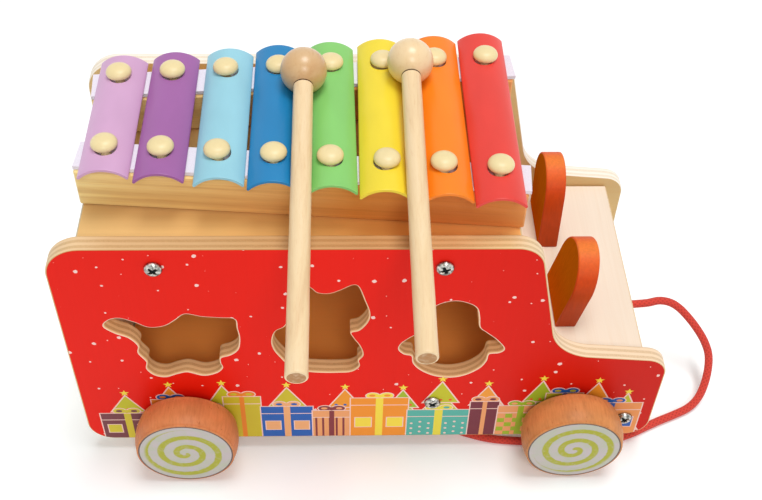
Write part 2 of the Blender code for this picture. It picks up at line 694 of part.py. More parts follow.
def build_xylophone(truck):
    low = ROOF_TOP + SEAT
    rail_top = low + RAIL_HEIGHT
    felt_low = rail_top + SEAT
    rail_end = ROOF_FRONT + RAIL_OVERHANG
    head = BAR_CROWN + SEAT
    peg_foot = rail_top - PEG_BITE - head
    bore = rod(flats(PEG_RADIUS + PEG_PLAY, 8), peg_foot - SEAT, 0, 8)
    peg = turned(
        [
            (PEG_RADIUS - PEG_PLAY, peg_foot),
            (PEG_RADIUS, peg_foot + PEG_PLAY),
            (PEG_RADIUS, 0),
            (PEG_HEAD_RADIUS * 0.93, 0),
            (PEG_HEAD_RADIUS, PEG_HEAD_HEIGHT * 0.2),
            (PEG_HEAD_RADIUS * 0.82, PEG_HEAD_HEIGHT * 0.66),
            (PEG_HEAD_RADIUS * 0.42, PEG_HEAD_HEIGHT * 0.94),
            (0, PEG_HEAD_HEIGHT),
        ],
        12,
    )
    for side, way in (("right", -1), ("left", 1)):
        mesh, spot, turn = along_rail(way, RAIL_WIDTH, REAR_FACE, rail_end, low, rail_top)
        rail = place(f"xylophone_rail_{side}", mesh, "beech", truck, spot, turn)
        ease(rail, RAIL_EDGE)
        felt_end = rail_end + FELT_OVERHANG
        mesh, spot, turn = along_rail(way, FELT_WIDTH, REAR_FACE, felt_end, felt_low, FELT_TOP)
        felt = place(f"felt_strip_{side}", mesh, "felt", truck, spot, turn)
        bores = []
        for number in range(len(BAR_COLOURS)):
            x = bar_x(number)
            spot = (x, way * rail_line(x), head)
            bores.append(Matrix.Translation(spot))
            name = f"bar_peg_{number + 1}_{side}"
            place(name, peg.copy(), "beech_pale", truck, spot, smooth=math.radians(50))
        cut(rail, repeated(bore, bores))
        cut(felt, repeated(bore, bores))
    for number, colour in enumerate(BAR_COLOURS):
        build_bar(truck, number, colour)


def build_bar(truck, number, colour):
    """An arched metal bar with an oval hole near each end."""
    arcs = []
    for radius, way in ((BAR_ARCH_RADIUS, 1), (BAR_ARCH_RADIUS - BAR_THICKNESS, -1)):
        for k in range(BAR_STEPS + 1):
            angle = BAR_HALF_ANGLE * (2 * k / BAR_STEPS - 1) * way
            arcs.append((radius * math.sin(angle), BAR_ARCH_RADIUS - radius * math.cos(angle)))
    half = bar_length(number) / 2
    mesh = prism(arcs, -half, half)
    spot = (bar_x(number), 0, BAR_CROWN)
    bar = place(f"bar_{number + 1}_{colour}", mesh, colour, truck, spot, (-math.pi / 2, 0, 0), math.radians(30))
    hole = turned([(1, -BAR_RISE - OVERRUN), (1, OVERRUN)], 12)
    shape = Matrix.Diagonal((BAR_HOLE_WIDTH / 2, BAR_HOLE_LENGTH / 2, 1, 1))
    spots = [Matrix.Translation((bar_x(number), way * rail_line(bar_x(number)), BAR_CROWN)) @ shape for way in (-1, 1)]
    cut(bar, repeated(hole, spots))


def build_mallets(truck):
    for name, (colour, inside) in MALLETS.items():
        spot, slope = mallet_pose(colour, inside)
        ball_at = empty(f"mallet_{name}_lift", spot, truck)
        # local +Z runs from the ball to the stick's free end
        ball_at.rotation_euler = (math.pi / 2 + slope, 0, 0)
        neck = math.asin(MALLET_STICK_RADIUS / MALLET_BALL_RADIUS)
        profile = [(0, -MALLET_BALL_RADIUS)]
        for k in range(1, 12):
            angle = math.pi - (math.pi - neck) * k / 11
            profile.append((MALLET_BALL_RADIUS * math.sin(angle), MALLET_BALL_RADIUS * math.cos(angle)))
        profile.append((MALLET_STICK_RADIUS, MALLET_REACH - PANEL_RIM))
        profile.append((MALLET_STICK_RADIUS - PANEL_RIM / 2, MALLET_REACH))
        place(f"mallet_{name}", turned(profile, 20), "beech_pale", ball_at, smooth=math.radians(40))


def evenly(points, step):
    """Points about a step apart on a smooth curve through points, with both end points kept."""
    ends = [points[0] * 2 - points[1]] + points + [points[-1] * 2 - points[-2]]
    fine = []
    for k in range(1, len(ends) - 2):
        a, b, c, d = ends[k - 1 : k + 3]
        for j in range(20):
            t = j / 20
            fine.append((b * 2 + (c - a) * t + (a * 2 - b * 5 + c * 4 - d) * t**2
                         + (b * 3 - a - c * 3 + d) * t**3) / 2)
    fine.append(points[-1])
    runs = [0.0]
    for a, b in zip(fine, fine[1:]):
        runs.append(runs[-1] + (b - a).length)
    count = max(1, round(runs[-1] / step))
    out = []
    at = 0
    for k in range(count + 1):
        want = runs[-1] * k / count
        while at < len(runs) - 2 and runs[at + 1] < want:
            at += 1
        share = (want - runs[at]) / (runs[at + 1] - runs[at])
        out.append(fine[at].lerp(fine[at + 1], share))
    return out


def tube(name, points, radius, resolution, look, parent):
    """A round tube along points, with filled ends."""
    curve = bpy.data.curves.new(name, "CURVE")
    curve.dimensions = "3D"
    curve.bevel_depth = radius
    curve.bevel_resolution = resolution
    curve.use_fill_caps = True
    line = curve.splines.new("POLY")
    line.points.add(len(points) - 1)
    for point, spot in zip(line.points, points):
        point.co = (*spot, 1)
    line.use_smooth = True
    made = bpy.data.objects.new(name, curve)
    bpy.context.scene.collection.objects.link(made)
    made.parent = parent
    curve.materials.append(material(name, look))
    return made


def coil_points():
    """The coil's middle line: straight in, spiral in on the floor, climb a layer, spiral out, straight out."""
    pitch = 2 * CORD_RADIUS + COIL_GAP
    outer = COIL_RADIUS + pitch * COIL_TURNS / 2
    entry = Vector((COIL_START[0] - SEAT / 2, COIL_START[1], CORD_RADIUS))
    centre = entry + Vector((-2 * CORD_RADIUS, outer, 0))
    points = [entry]
    for k in range(2 * COIL_TURNS * COIL_POINTS + 1):
        turn = k / COIL_POINTS
        radius = outer - pitch * min(turn, 2 * COIL_TURNS - turn)
        climb = min(1, max(0, (turn - COIL_TURNS) * 2 + 0.5))
        climb = climb * climb * (3 - 2 * climb)
        angle = -math.pi / 2 - 2 * math.pi * turn
        points.append(centre + Vector((radius * math.cos(angle), radius * math.sin(angle), pitch * climb)))
    last = points[-1]
    points.append(last - Vector((COIL_TAIL / 2, 0, 0)))
    points.append(last - Vector((COIL_TAIL, 0, 0)))
    return points


def least_gap(points):
    """Least clear gap between stretches of the coil that aren't next to each other."""
    least = math.inf
    for k, a in enumerate(points):
        for b in points[k + COIL_POINTS // 2 :]:
            least = min(least, (a - b).length)
    return least - 2 * CORD_RADIUS


def build_cord(truck):
    start = Vector((FRONT_FACE + SEAT, CORD_OFFSET, CORD_HEIGHT))
    square = Vector((2 * CORD_RADIUS, 0, 0))
    finish = Vector((COIL_START[0] + SEAT / 2, COIL_START[1], CORD_RADIUS))
    route = [start, start + square] + [Vector(p) for p in CORD_ROUTE] + [finish + square, finish]
    run = evenly(route, CORD_STEP)
    run.insert(1, start + square / 2)
    run.insert(-1, finish + square / 2)
    tube("pull_cord_run", run, CORD_RADIUS, 2, "cord", truck)
    coil = coil_points()
    tube("pull_cord_coil", coil, CORD_RADIUS, 1, "cord", truck)
    print("coil gap to itself, mm:", round(least_gap(coil) / MM, 2))
    length = 0.0
    for line in (run, coil):
        for a, b in zip(line, line[1:]):
            length += (b - a).length
    print("cord length, mm:", round(length / MM, 1))

    # each knot is turned about the cord's line; its free tail sticks out behind it
    knot = CORD_RADIUS + 2 * CORD_RADIUS + COIL_GAP
    shape = [(0.62, 0.0), (0.95, 0.18), (1.0, 0.36), (0.86, 0.5), (1.0, 0.66), (0.92, 0.84), (0.55, 1.0)]
    turns = [(knot * wide, KNOT_LENGTH * along) for wide, along in shape]
    tail = [(CORD_RADIUS, KNOT_LENGTH), (CORD_RADIUS, KNOT_LENGTH + KNOT_TAIL)]
    end = coil[-1] - Vector((SEAT, 0, 0))
    mesh = turned(turns + tail, 12)
    place("cord_end_knot", mesh, "cord", truck, end, (0, -math.pi / 2, 0), math.radians(60))
    stub = [(CORD_RADIUS, -PLY - SEAT), (CORD_RADIUS, 0)]
    mesh = turned(stub + turns + tail, 12)
    inside = (FRONT_FACE - PLY - SEAT, CORD_OFFSET, CORD_HEIGHT)
    place("cord_stop_knot", mesh, "cord", truck, inside, (0, -math.pi / 2, 0), math.radians(60))


def main():
    clear_scene()
    truck = empty("truck_middle", (0, -MIDDLE_Y, 0))
    build_panels(truck)
    build_boards(truck)
    build_screws(truck)
    build_ears(truck)
    build_wheels(truck)
    build_xylophone(truck)
    build_mallets(truck)
    build_cord(truck)
    print("middle of the truck at Y, mm:", round(-MIDDLE_Y / MM, 3))


main()
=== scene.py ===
"""Xylophone pull truck, dressed: fine surfaces and procedural materials on the truck's CAD frame.

Sizes are in metres. X points to the bonnet, Y to the truck's left, Z up; the floor is Z = 0.
"""

import math

import bpy
import numpy as np
from bpy.props import FloatProperty, FloatVectorProperty, IntProperty, PointerProperty
from bpy.types import Operator, Panel, PropertyGroup
from mathutils import Matrix, Vector
from mathutils.geometry import delaunay_2d_cdt, tessellate_polygon


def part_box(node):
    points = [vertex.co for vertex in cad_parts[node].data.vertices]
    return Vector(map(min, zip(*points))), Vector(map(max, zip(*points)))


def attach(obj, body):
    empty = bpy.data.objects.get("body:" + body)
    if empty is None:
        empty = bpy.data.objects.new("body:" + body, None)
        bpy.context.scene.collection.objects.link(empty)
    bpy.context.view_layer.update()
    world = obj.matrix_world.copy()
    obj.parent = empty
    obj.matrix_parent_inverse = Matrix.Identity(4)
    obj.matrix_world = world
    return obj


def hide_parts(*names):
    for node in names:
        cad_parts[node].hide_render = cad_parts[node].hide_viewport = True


bl_info = {
    "name": "Xylophone pull truck",
    "version": (1, 0, 0),
    "blender": (4, 5, 0),
    "location": "3D View > Sidebar > Pull truck",
    "description": "Builds a wooden pull-along truck with a xylophone on its roof",
    "category": "Add Mesh",
}

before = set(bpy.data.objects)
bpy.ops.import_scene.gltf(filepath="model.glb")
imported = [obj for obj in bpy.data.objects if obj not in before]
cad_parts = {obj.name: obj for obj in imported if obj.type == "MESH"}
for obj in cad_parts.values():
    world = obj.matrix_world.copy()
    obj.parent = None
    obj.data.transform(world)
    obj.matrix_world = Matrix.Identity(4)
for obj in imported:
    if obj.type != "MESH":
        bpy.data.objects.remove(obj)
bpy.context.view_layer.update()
MM = 0.001

# ---- Sizes that the solids have too

PANEL_LOW, PANEL_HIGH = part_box("side_panel_right")
FAR_PANEL_LOW, FAR_PANEL_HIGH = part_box("side_panel_left")
PLY = PANEL_HIGH.y - PANEL_LOW.y
MIDDLE_Y = (PANEL_LOW.y + FAR_PANEL_HIGH.y) / 2
TAIL = PANEL_LOW.x
NOSE = PANEL_HIGH.x
ROOF_LINE = PANEL_HIGH.z
UNDERSIDE = PANEL_LOW.z
SIDES = {  # each panel's two faces, and the way that its printed one looks
    "right": (PANEL_LOW.y, PANEL_HIGH.y, -1),
    "left": (FAR_PANEL_LOW.y, FAR_PANEL_HIGH.y, 1),
}

CAB_LENGTH = 225.3 * MM
SCREEN_RAKE = math.radians(11.8)
BONNET_REAR_HEIGHT = 80.3 * MM
BONNET_NOSE_HEIGHT = 74.6 * MM
# at the tail's foot and top, the cab's front, the screen's foot, and the nose's top and foot
CORNER_RADII = [13 * MM, 18 * MM, 14 * MM, 24 * MM, 12 * MM, 12 * MM]
PANEL_RIM = 0.8 * MM

# middle (from the tail, above the floor), width and height of each sorting hole
HOLE_SPOTS = {
    "bird": (52.7 * MM, 89.2 * MM, 63.4 * MM, 48.8 * MM),
    "boot": (124.0 * MM, 100.4 * MM, 46.7 * MM, 65.8 * MM),
    "hat": (188.7 * MM, 92.2 * MM, 51.6 * MM, 59.0 * MM),
}
HOLE_SHARES = {
    "bird": [
        (-0.50, 0.32), (-0.45, 0.41), (-0.37, 0.43), (-0.27, 0.37), (-0.17, 0.29), (-0.05, 0.31),
        (0.04, 0.40), (0.12, 0.49), (0.24, 0.45), (0.38, 0.43), (0.48, 0.41), (0.49, 0.27),
        (0.50, 0.12), (0.48, -0.05), (0.42, -0.14), (0.34, -0.19), (0.33, -0.28), (0.34, -0.36),
        (0.29, -0.44), (0.19, -0.48), (0.07, -0.42), (-0.02, -0.45), (-0.11, -0.50), (-0.19, -0.47),
        (-0.24, -0.37), (-0.23, -0.25), (-0.28, -0.11), (-0.27, 0.01), (-0.33, 0.14), (-0.43, 0.22),
    ],
    "boot": [
        (-0.50, -0.12), (-0.48, -0.22), (-0.42, -0.31), (-0.32, -0.42), (-0.18, -0.48), (0.02, -0.50),
        (0.20, -0.50), (0.32, -0.49), (0.40, -0.43), (0.39, -0.36), (0.44, -0.29), (0.41, -0.19),
        (0.34, -0.09), (0.31, -0.02), (0.40, 0.01), (0.48, 0.10), (0.50, 0.20), (0.45, 0.34),
        (0.39, 0.48), (0.33, 0.50), (0.22, 0.45), (0.10, 0.41), (-0.02, 0.42), (-0.10, 0.48),
        (-0.18, 0.47), (-0.25, 0.34), (-0.29, 0.18), (-0.36, 0.05), (-0.46, -0.01),
    ],
    "hat": [
        (-0.50, -0.11), (-0.48, -0.04), (-0.41, 0.03), (-0.32, 0.10), (-0.25, 0.18), (-0.24, 0.32),
        (-0.19, 0.43), (-0.11, 0.48), (0.00, 0.50), (0.11, 0.47), (0.19, 0.41), (0.22, 0.30),
        (0.24, 0.17), (0.32, 0.09), (0.42, 0.00), (0.50, -0.11), (0.46, -0.16), (0.36, -0.18),
        (0.34, -0.28), (0.28, -0.38), (0.15, -0.47), (0.00, -0.50), (-0.15, -0.47), (-0.28, -0.39),
        (-0.35, -0.30), (-0.37, -0.20), (-0.45, -0.17),
    ],
}

SCREW_HEAD_RADIUS = 4.3 * MM
SCREW_HEAD_HEIGHT = 2.2 * MM
SCREW_SHANK = 1.75 * MM
SCREW_TURNS = {"roof_rear": 40, "roof_front": 20, "floor_rear": 10, "floor_front": 50, "nose": 35}
CROSS_HALF_WIDTH = 0.17  # shares of the head's radius, but for the depth, which is a share of its height
CROSS_REACH = 0.56
CROSS_EDGE = 0.75  # out to here a face down in the cross gets the painted recess shade
CROSS_DEPTH = 0.62

EAR_FOOT = 35.8 * MM
EAR_LOBE_RADIUS = 18 * MM
EAR_LOBE_HEIGHT = 24.6 * MM
EAR_THICKNESS = 10.8 * MM
EARS = {  # rear face from the tail, middle of the foot and of the lobe from the middle plane, forward lean
    "right": (245.5 * MM, -26.7 * MM, -27.9 * MM, math.radians(10.9)),
    "left": (243.3 * MM, 30.4 * MM, 36.9 * MM, math.radians(2.5)),
}

WHEEL_RADIUS = 26.6 * MM
WHEEL_FACE_RADIUS = 24.6 * MM
WHEEL_INNER_RADIUS = 25.4 * MM
AXLE_RADIUS = 4 * MM
WHEEL_LINE = 1.1 * MM
AXLE_BITE = 12 * MM

BAR_ARCH_RADIUS = 15.65 * MM
BAR_THICKNESS = 1.5 * MM
BAR_EASE = 0.35 * MM
BAR_HOLE_LENGTH = 12.6 * MM
BAR_HOLE_WIDTH = 10.2 * MM
PEG_HEAD_RADIUS = 6.2 * MM
PEG_HEAD_HEIGHT = 4.2 * MM
PEG_RADIUS = 2.4 * MM
RAIL_ANGLE = math.atan(0.0799)
BARS = ["bar_1_lilac", "bar_2_purple", "bar_3_sky", "bar_4_blue", "bar_5_green", "bar_6_yellow", "bar_7_orange",
        "bar_8_red"]
BAR_SLIPS = [  # how far each loose bar has slid on its pegs, in mm: aside at the near peg, at the far one, and nearer
    (0.6, 0.5, 1.1), (0.0, 0.1, 1.0), (1.3, 1.1, 0.6), (-0.2, -0.5, 0.3), (0.7, -0.2, 0.4), (-1.1, -1.0, 0.6),
    (1.2, 0.9, 0.5), (-1.0, -0.9, 0.8),
]

MALLET_BALL_RADIUS = 11.3 * MM
MALLET_STICK_RADIUS = 4.75 * MM
MALLET_REACH = 170 * MM

CORD_RADIUS = 2.25 * MM
CORD_OFFSET = -4 * MM
CORD_HEIGHT = 40 * MM
CORD_ROUTE = np.array([  # along the truck from its middle, across it from its middle plane, and up
    (149.0, -4.2, 40.4), (157.7, -3.8, 41.0), (164.4, -2.6, 41.5), (171.0, -2.7, 40.0), (176.4, -4.5, 37.3),
    (181.8, -7.7, 33.0), (186.8, -12.2, 28.5), (191.1, -17.3, 23.5), (193.6, -23.0, 18.3), (193.1, -29.7, 13.0),
    (190.3, -37.3, 8.0), (186.1, -43.7, 4.2), (179.9, -49.0, 2.6), (171.0, -53.4, 2.25), (162.4, -57.1, 2.25),
    (153.1, -61.5, 2.25), (144.5, -65.7, 2.25), (135.6, -68.7, 2.25), (122.0, -70.3, 2.25), (103.0, -70.6, 2.25),
    (82.2, -70.0, 2.25), (64.0, -67.8, 2.25), (47.0, -61.8, 2.25), (32.0, -52.6, 2.25), (18.0, -44.6, 2.25),
]) * MM
COIL_START = (0 * MM, -41.0 * MM)
COIL_RADIUS = 25 * MM
COIL_GAP = 0.5 * MM
COIL_TURNS = 1  # in each of its two layers
COIL_TAIL = 24 * MM
SEAT = 0.3 * MM  # the gap that the solids keep between pieces that touch
PINHOLE = 0.2 * MM  # a turned form's end face starts this far from its axis

# ---- Painted shade and light: share of the truck's length from its tail, or of a plate's height, and factors on red, green and blue

# painted shade along the roof board, deepest beside the rail and under the mallet sticks
ROOF_SHADE_TONES = [(0.07, (0.80, 0.93, 1)), (0.15, (0.84, 0.95, 1)), (0.26, (0.89, 0.95, 0.92)), (0.38, (0.91, 0.88, 0.77)),
              (0.50, (0.94, 0.80, 0.57)), (0.62, (1, 0.86, 0.64)), (0.70, (1, 1, 0.84)), (0.75, (1, 0.96, 0.8))]
# painted shade along the near panel's edge, deepest along the cab's middle
CAB_EDGE_SHADE_TONES = [(0.0, (0.90, 0.84, 0.74)), (0.05, (0.90, 0.80, 0.66)), (0.10, (0.80, 0.64, 0.47)),
                  (0.30, (0.71, 0.52, 0.34)), (0.48, (0.64, 0.41, 0.24)), (0.62, (0.72, 0.48, 0.30)),
                  (0.70, (0.86, 0.74, 0.53)), (0.73, (0.92, 0.88, 0.80)), (0.82, (0.97, 0.94, 0.95))]
# painted shade on the rails, darker towards the front and under the mallet sticks
RAIL_SHADE_TONES = [(0.07, (1, 1, 1)), (0.20, (1, 0.92, 0.87)), (0.30, (1, 0.80, 0.69)), (0.47, (0.83, 0.45, 0.22)),
              (0.60, (0.80, 0.37, 0.20)), (0.69, (0.88, 0.44, 0.27)), (0.77, (0.94, 0.54, 0.40))]
# painted light on the plates' edges: painted shade deepening towards the foot, a painted highlight at the top
EAR_RIM_LIGHT_TONES = [(0.1, (0.66, 0.30, 0.01)), (0.6, (0.64, 0.26, 0.02)), (0.82, (0.72, 0.28, 0.07)),
                 (0.9, (0.81, 0.41, 0.17)), (0.97, (0.93, 0.62, 0.44)), (1, (1, 1, 1))]
# painted shade on the plates' flat faces, deepest at the foot
EAR_FACE_SHADE_TONES = [(0.1, (1, 0.8, 0.6)), (0.6, (1, 1.1, 1)), (0.95, (1, 1.1, 1))]
# painted shade on the red ink, deeper towards the nose
PRINT_SHADE_TONES = [(0.1, (1, 1, 1)), (0.45, (1, 0.9, 0.8)), (0.72, (0.9, 0.9, 0.9)), (0.95, (0.76, 0.9, 1))]
DOTLESS_FOOT = 16 * MM

# ---- The printed band: millimetres from the truck's middle, sRGB inks

INK_LIFT = 0.04 * MM
PALE = "F9D2C6"
FIRS = [  # middle, width, height, leaf, trim
    (-127, 30, 40, "C9C52A", "E8622A"), (-104, 32, 47, "F39A2C", "FBE04A"), (-77, 30, 48, "C9C52A", "E8622A"),
    (-44, 33, 46, "D2BE2E", "F7962E"), (-14, 30, 44, "F39A2C", "2C62B4"), (16, 28, 43, "A6BC2C", "E8622A"),
    (36, 32, 50, "C9C52A", "E8622A"), (60, 30, 46, "F7A03A", "FBE04A"), (88, 30, 50, "A6BC2C", "E8622A"),
    (117, 30, 48, "F39A2C", "2C62B4"), (134, 20, 38, "C9C52A", "E8622A"),
]
PARCELS = [  # left edge, width, height, paper, ribbon, pattern
    (-142, 28, 23, "7C444A", "D8C83A", "panes"), (-114, 20, 35, "F08A2B", "2C62B4", "dots"),
    (-94, 17, 27, "5DB3AE", "F6E04A", "stripes"), (-77, 19, 37, "D2BE2E", "F08A2B", "plain"),
    (-58, 27, 28, "2C62B4", "F4B078", "panes"), (-31, 20, 24, "F2A56C", "8A3A40", "stripes"),
    (-11, 30, 35, "F7962E", "FBE04A", "panes"), (19, 33, 24, "5CB5A6", "ECDC4A", "dots"),
    (52, 15, 31, "7A3440", "F2A56C", "plain"), (67, 24, 27, "F2A56C", "A2BC2C", "checks"),
    (91, 19, 38, "C4B82C", "2C62B4", "plain"), (110, 33, 29, "F09A58", "2C62B4", "panes"),
]

# ---- The camera, matched to the photograph's straight edges, screws, bars and wheels

PHOTO_WIDTH = 762
CAMERA_PIXELS = 1143.5  # focal length in the photograph's pixels
CAMERA_SPOT = (-15.8 * MM, -419.6 * MM, 531.8 * MM)
CAMERA_YAW = math.radians(-2.93)
CAMERA_PITCH = math.radians(46.98)
CAMERA_ROLL = math.radians(1.96)

SEEN_WHITE = 1.0  # how bright the surround is to the camera, and what it sheds on the pieces
SURROUND = 0.36


def linear(hexcode):
    """Linear RGBA of an sRGB hex colour."""
    value = np.array([int(hexcode[k : k + 2], 16) for k in (0, 2, 4)]) / 255
    value = np.where(value <= 0.04045, value / 12.92, ((value + 0.055) / 1.055) ** 2.4)
    return (*value.tolist(), 1.0)


# ---- Properties


def length_property(name, default, description):
    """A length that a user may change."""
    return FloatProperty(name=name, description=description, default=default, unit="LENGTH")


def colour_property(name, hexcode, description):
    """A colour that a user may change, from its sRGB hex code."""
    return FloatVectorProperty(
        name=name, description=description, subtype="COLOR", size=4, min=0, max=1, default=linear(hexcode)
    )


class TruckSizes(PropertyGroup):
    """Sizes of the finishing details that a user may change."""

    hole_rim: length_property("Hole edge", 0.7 * MM, "Rounding of the sorting holes' edges")
    snow_spacing: length_property("Dot spacing", 13.5 * MM, "Mean distance between the printed dots")
    snow_radius: length_property("Dot radius", 1.15 * MM, "Radius of the largest printed dot")
    spiral_pitch: length_property("Spiral pitch", 8.2 * MM, "Distance between a wheel spiral's turns")
    spiral_share: FloatProperty(
        name="Spiral width", description="Share of the pitch that is coloured", default=0.42, min=0.05, max=0.95
    )
    plies: IntProperty(name="Plies", description="Layers in the plywood", default=5, min=3, max=9)
    cord_diameter: length_property("Cord", 2 * CORD_RADIUS, "Diameter of the pull cord")
    braid_pitch: length_property("Braid", 2.6 * MM, "Length of one braid repeat along the cord")


class TruckColours(PropertyGroup):
    """Colours of the truck's finishes."""

    print_red: colour_property("Print", "EE1B08", "Red ink on the side panels")
    dots: colour_property("Dots", "FBD5CC", "Printed dots and outlines")
    birch: colour_property("Birch", "F2E2CE", "Bare birch plywood")
    # the inner faces are darkened to tan as painted shade
    shaded_lining: colour_property("Panels' insides", "DCBD85", "Veneer on the panels' inner faces")
    roof: colour_property("Roof board", "FBC07A", "Veneer of the roof board at the tail")
    inside: colour_property("Floor board", "FDA24E", "Veneer of the board seen through the sorting holes")
    rail: colour_property("Rails", "FFE49C", "Wood of the xylophone's rails at the tail")
    turned: colour_property("Turned wood", "F0DCA6", "Pegs and axles")
    stick: colour_property("Mallet sticks", "F4D7AA", "Wood of the mallets' sticks")
    ball: colour_property("Mallet balls", "F3D4A4", "Wood of the front mallet's ball")
    rear_wheel: colour_property("Rear wheels", "D68854", "Tinted wood of the rear wheels")
    front_wheel: colour_property("Front wheels", "D08B52", "Tinted wood of the front wheels")
    disc: colour_property("Wheel print", "C3BEB2", "Ground of the wheels' print")
    spiral: colour_property("Spiral", "AEAD33", "Spiral on the wheels' print")
    ear: colour_property("Bonnet plates", "EC7C33", "Paint on the edges of the two plates on the bonnet")
    shaded_ear_face: colour_property("Plate faces", "C0600A", "Deeper paint on the plates' flat faces")
    # the plates' faces are darker than their edges as painted shade
    felt: colour_property("Felt", "F6F0FB", "Felt under the bars")
    cord: colour_property("Cord", "D6463A", "Pull cord")
    lilac: colour_property("Lilac", "D6A8CE", "First bar")
    purple: colour_property("Purple", "A465A6", "Second bar")
    sky: colour_property("Sky", "9AD2E2", "Third bar")
    blue: colour_property("Blue", "1C82BC", "Fourth bar")
    green: colour_property("Green", "88CE70", "Fifth bar")
    yellow: colour_property("Yellow", "F3DB3A", "Sixth bar")
    orange: colour_property("Orange", "FA8718", "Seventh bar")
    red: colour_property("Red", "E84238", "Eighth bar")


def sizes():
    """The sizes as the user has set them."""
    return bpy.context.scene.truck_sizes


def colours():
    """The colours as the user has set them."""
    return bpy.context.scene.truck_colours


# ---- Surfaces


def linked(name, data):
    """A new object of the scene with this data."""
    made = bpy.data.objects.new(name, data)
    bpy.context.scene.collection.objects.link(made)
    return made


def unit(vectors):
    """Vectors along the last axis, each made one long."""
    return vectors / np.linalg.norm(vectors, axis=-1, keepdims=True)


def middle_of(node):
    """The middle of a node's box."""
    return tuple((a + b) / 2 for a, b in zip(*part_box(node)))


def circle(sides, one, other):
    """(..., sides, 3) unit vectors cos a one + sin a other."""
    angle = 2 * np.pi * np.arange(sides) / sides
    return np.cos(angle)[:, None] * one[..., None, :] + np.sin(angle)[:, None] * other[..., None, :]


def add_mesh(name, vertices, faces, loop_uvs=None, slots=None, smooth=True):
    """A mesh object at the origin from an (n, 3) array and a list of faces, outward whichever way they came."""
    vertices = np.asarray(vertices, float)
    mesh = bpy.data.meshes.new(name)
    mesh.from_pydata(vertices.tolist(), [], faces)
    if loop_uvs is not None:
        mesh.uv_layers.new(name="UVMap").uv.foreach_set("vector", np.asarray(loop_uvs, np.float32).ravel())
    if slots is not None:
        mesh.polygons.foreach_set("material_index", np.asarray(slots, np.int32))
    mesh.polygons.foreach_set("use_smooth", np.full(len(faces), smooth))
    mesh.calc_loop_triangles()
    corners = np.empty(len(mesh.loop_triangles) * 3, np.int32)
    mesh.loop_triangles.foreach_get("vertices", corners)
    a, b, c = vertices[corners.reshape(-1, 3)].transpose(1, 0, 2)
    if np.einsum("ij,ij->", a, np.cross(b, c)) < 0:
        mesh.flip_normals()
    return linked(name, mesh)


def grid_faces(rows, columns, wrap_rows=False, first=0):
    """Quads of a grid of vertices whose columns run round, and each corner's row and column, not wrapped."""
    r, c = np.meshgrid(np.arange(rows if wrap_rows else rows - 1), np.arange(columns), indexing="ij")
    r = np.stack([r, r, r + 1, r + 1], -1).reshape(-1, 4)
    c = np.stack([c, c + 1, c + 1, c], -1).reshape(-1, 4)
    return first + (r % rows) * columns + c % columns, r, c


def wrapped_uv(along, sides):
    """A (rows, sides + 1, 2) grid: u once round, v along."""
    return np.stack(np.broadcast_arrays(np.linspace(0, 1, sides + 1)[None, :], along[:, None]), -1)


def lofted(name, points, uv=None, slots=None, end_slots=(0, 0)):
    """A tube with flat ends over a (rows, columns, 3) grid of points whose columns run round it.

    uv is a (rows, columns + 1, 2) grid; the end faces get the first and last row's. slots gives a material
    number for each band between two rows.
    """
    rows, columns = points.shape[:2]
    quads, r, c = grid_faces(rows, columns)
    around = np.arange(columns)
    faces = quads.tolist() + [around[::-1].tolist(), (around + (rows - 1) * columns).tolist()]
    numbers = np.repeat(np.zeros(rows - 1, int) if slots is None else slots, columns)
    if uv is not None:
        uv = np.concatenate([uv[r, c].reshape(-1, 2), uv[0, :-1][::-1], uv[-1, :-1]])
    return add_mesh(name, points.reshape(-1, 3), faces, uv, np.append(numbers, end_slots))


def turned(name, profile, spot, axis, sides=64, flat_uv=False, slots=None, end_slots=(0, 0)):
    """A turned form: point(s, a) = spot + h(s) axis + r(s) (cos a, sin a) across it, for profile rows (r, h).

    The flat UV is the place across the axis, in metres.
    """
    profile = np.asarray(profile, float)
    axis = unit(np.asarray(axis, float))
    side = unit(np.cross(axis, [1.0, 0, 0] if abs(axis[0]) < 0.9 else [0, 0, 1.0]))
    points = np.asarray(spot) + profile[:, 1, None, None] * axis
    points = points + profile[:, 0, None, None] * circle(sides, side, np.cross(axis, side))
    angle = np.linspace(0, 2 * np.pi, sides + 1)
    uv = profile[:, 0, None, None] * np.stack([np.cos(angle), np.sin(angle)], -1) if flat_uv else None
    return lofted(name, points, uv, slots, end_slots)


def arc(centre, radius, start, end, count):
    """(count, 2) points on an arc, angles in degrees."""
    angle = np.radians(np.linspace(start, end, count))
    return np.stack([centre[0] + radius * np.cos(angle), centre[1] + radius * np.sin(angle)], -1)


def catmull(points, steps, closed):
    """Catmull-Rom curve: between b and c it is (2b + (c-a)t + (2a-5b+4c-d)t2 + (3b-a-3c+d)t3) / 2."""
    points = np.asarray(points, float)
    if closed:
        a, b, c, d = (np.roll(points, k, 0) for k in (1, 0, -1, -2))
    else:
        ends = np.concatenate([[2 * points[0] - points[1]], points, [2 * points[-1] - points[-2]]])
        a, b, c, d = ends[:-3], ends[1:-2], ends[2:-1], ends[3:]
    t = (np.arange(steps) / steps)[None, :, None]
    a, b, c, d = (v[:, None] for v in (a, b, c, d))
    out = (2 * b + (c - a) * t + (2 * a - 5 * b + 4 * c - d) * t**2 + (3 * b - a - 3 * c + d) * t**3) / 2
    out = out.reshape(-1, points.shape[1])
    return out if closed else np.concatenate([out, points[-1:]])


def run_along(line):
    """The distance run along a polyline at each of its points."""
    return np.append(0, np.cumsum(np.linalg.norm(np.diff(line, axis=0), axis=1)))


def evenly(curve, count):
    """count points at equal distances along a polyline."""
    run = run_along(curve)
    want = np.linspace(0, run[-1], count)
    return np.stack([np.interp(want, run, side) for side in curve.T], -1)


def inward(outline):
    """Unit normals of a closed outline, pointing into it."""
    ahead = unit(np.roll(outline, -1, 0) - outline)
    along = unit(ahead + np.roll(ahead, 1, 0))
    x, z = outline.T
    way = 1 if (x * np.roll(z, -1) - np.roll(x, -1) * z).sum() > 0 else -1
    return way * np.stack([-along[:, 1], along[:, 0]], -1)


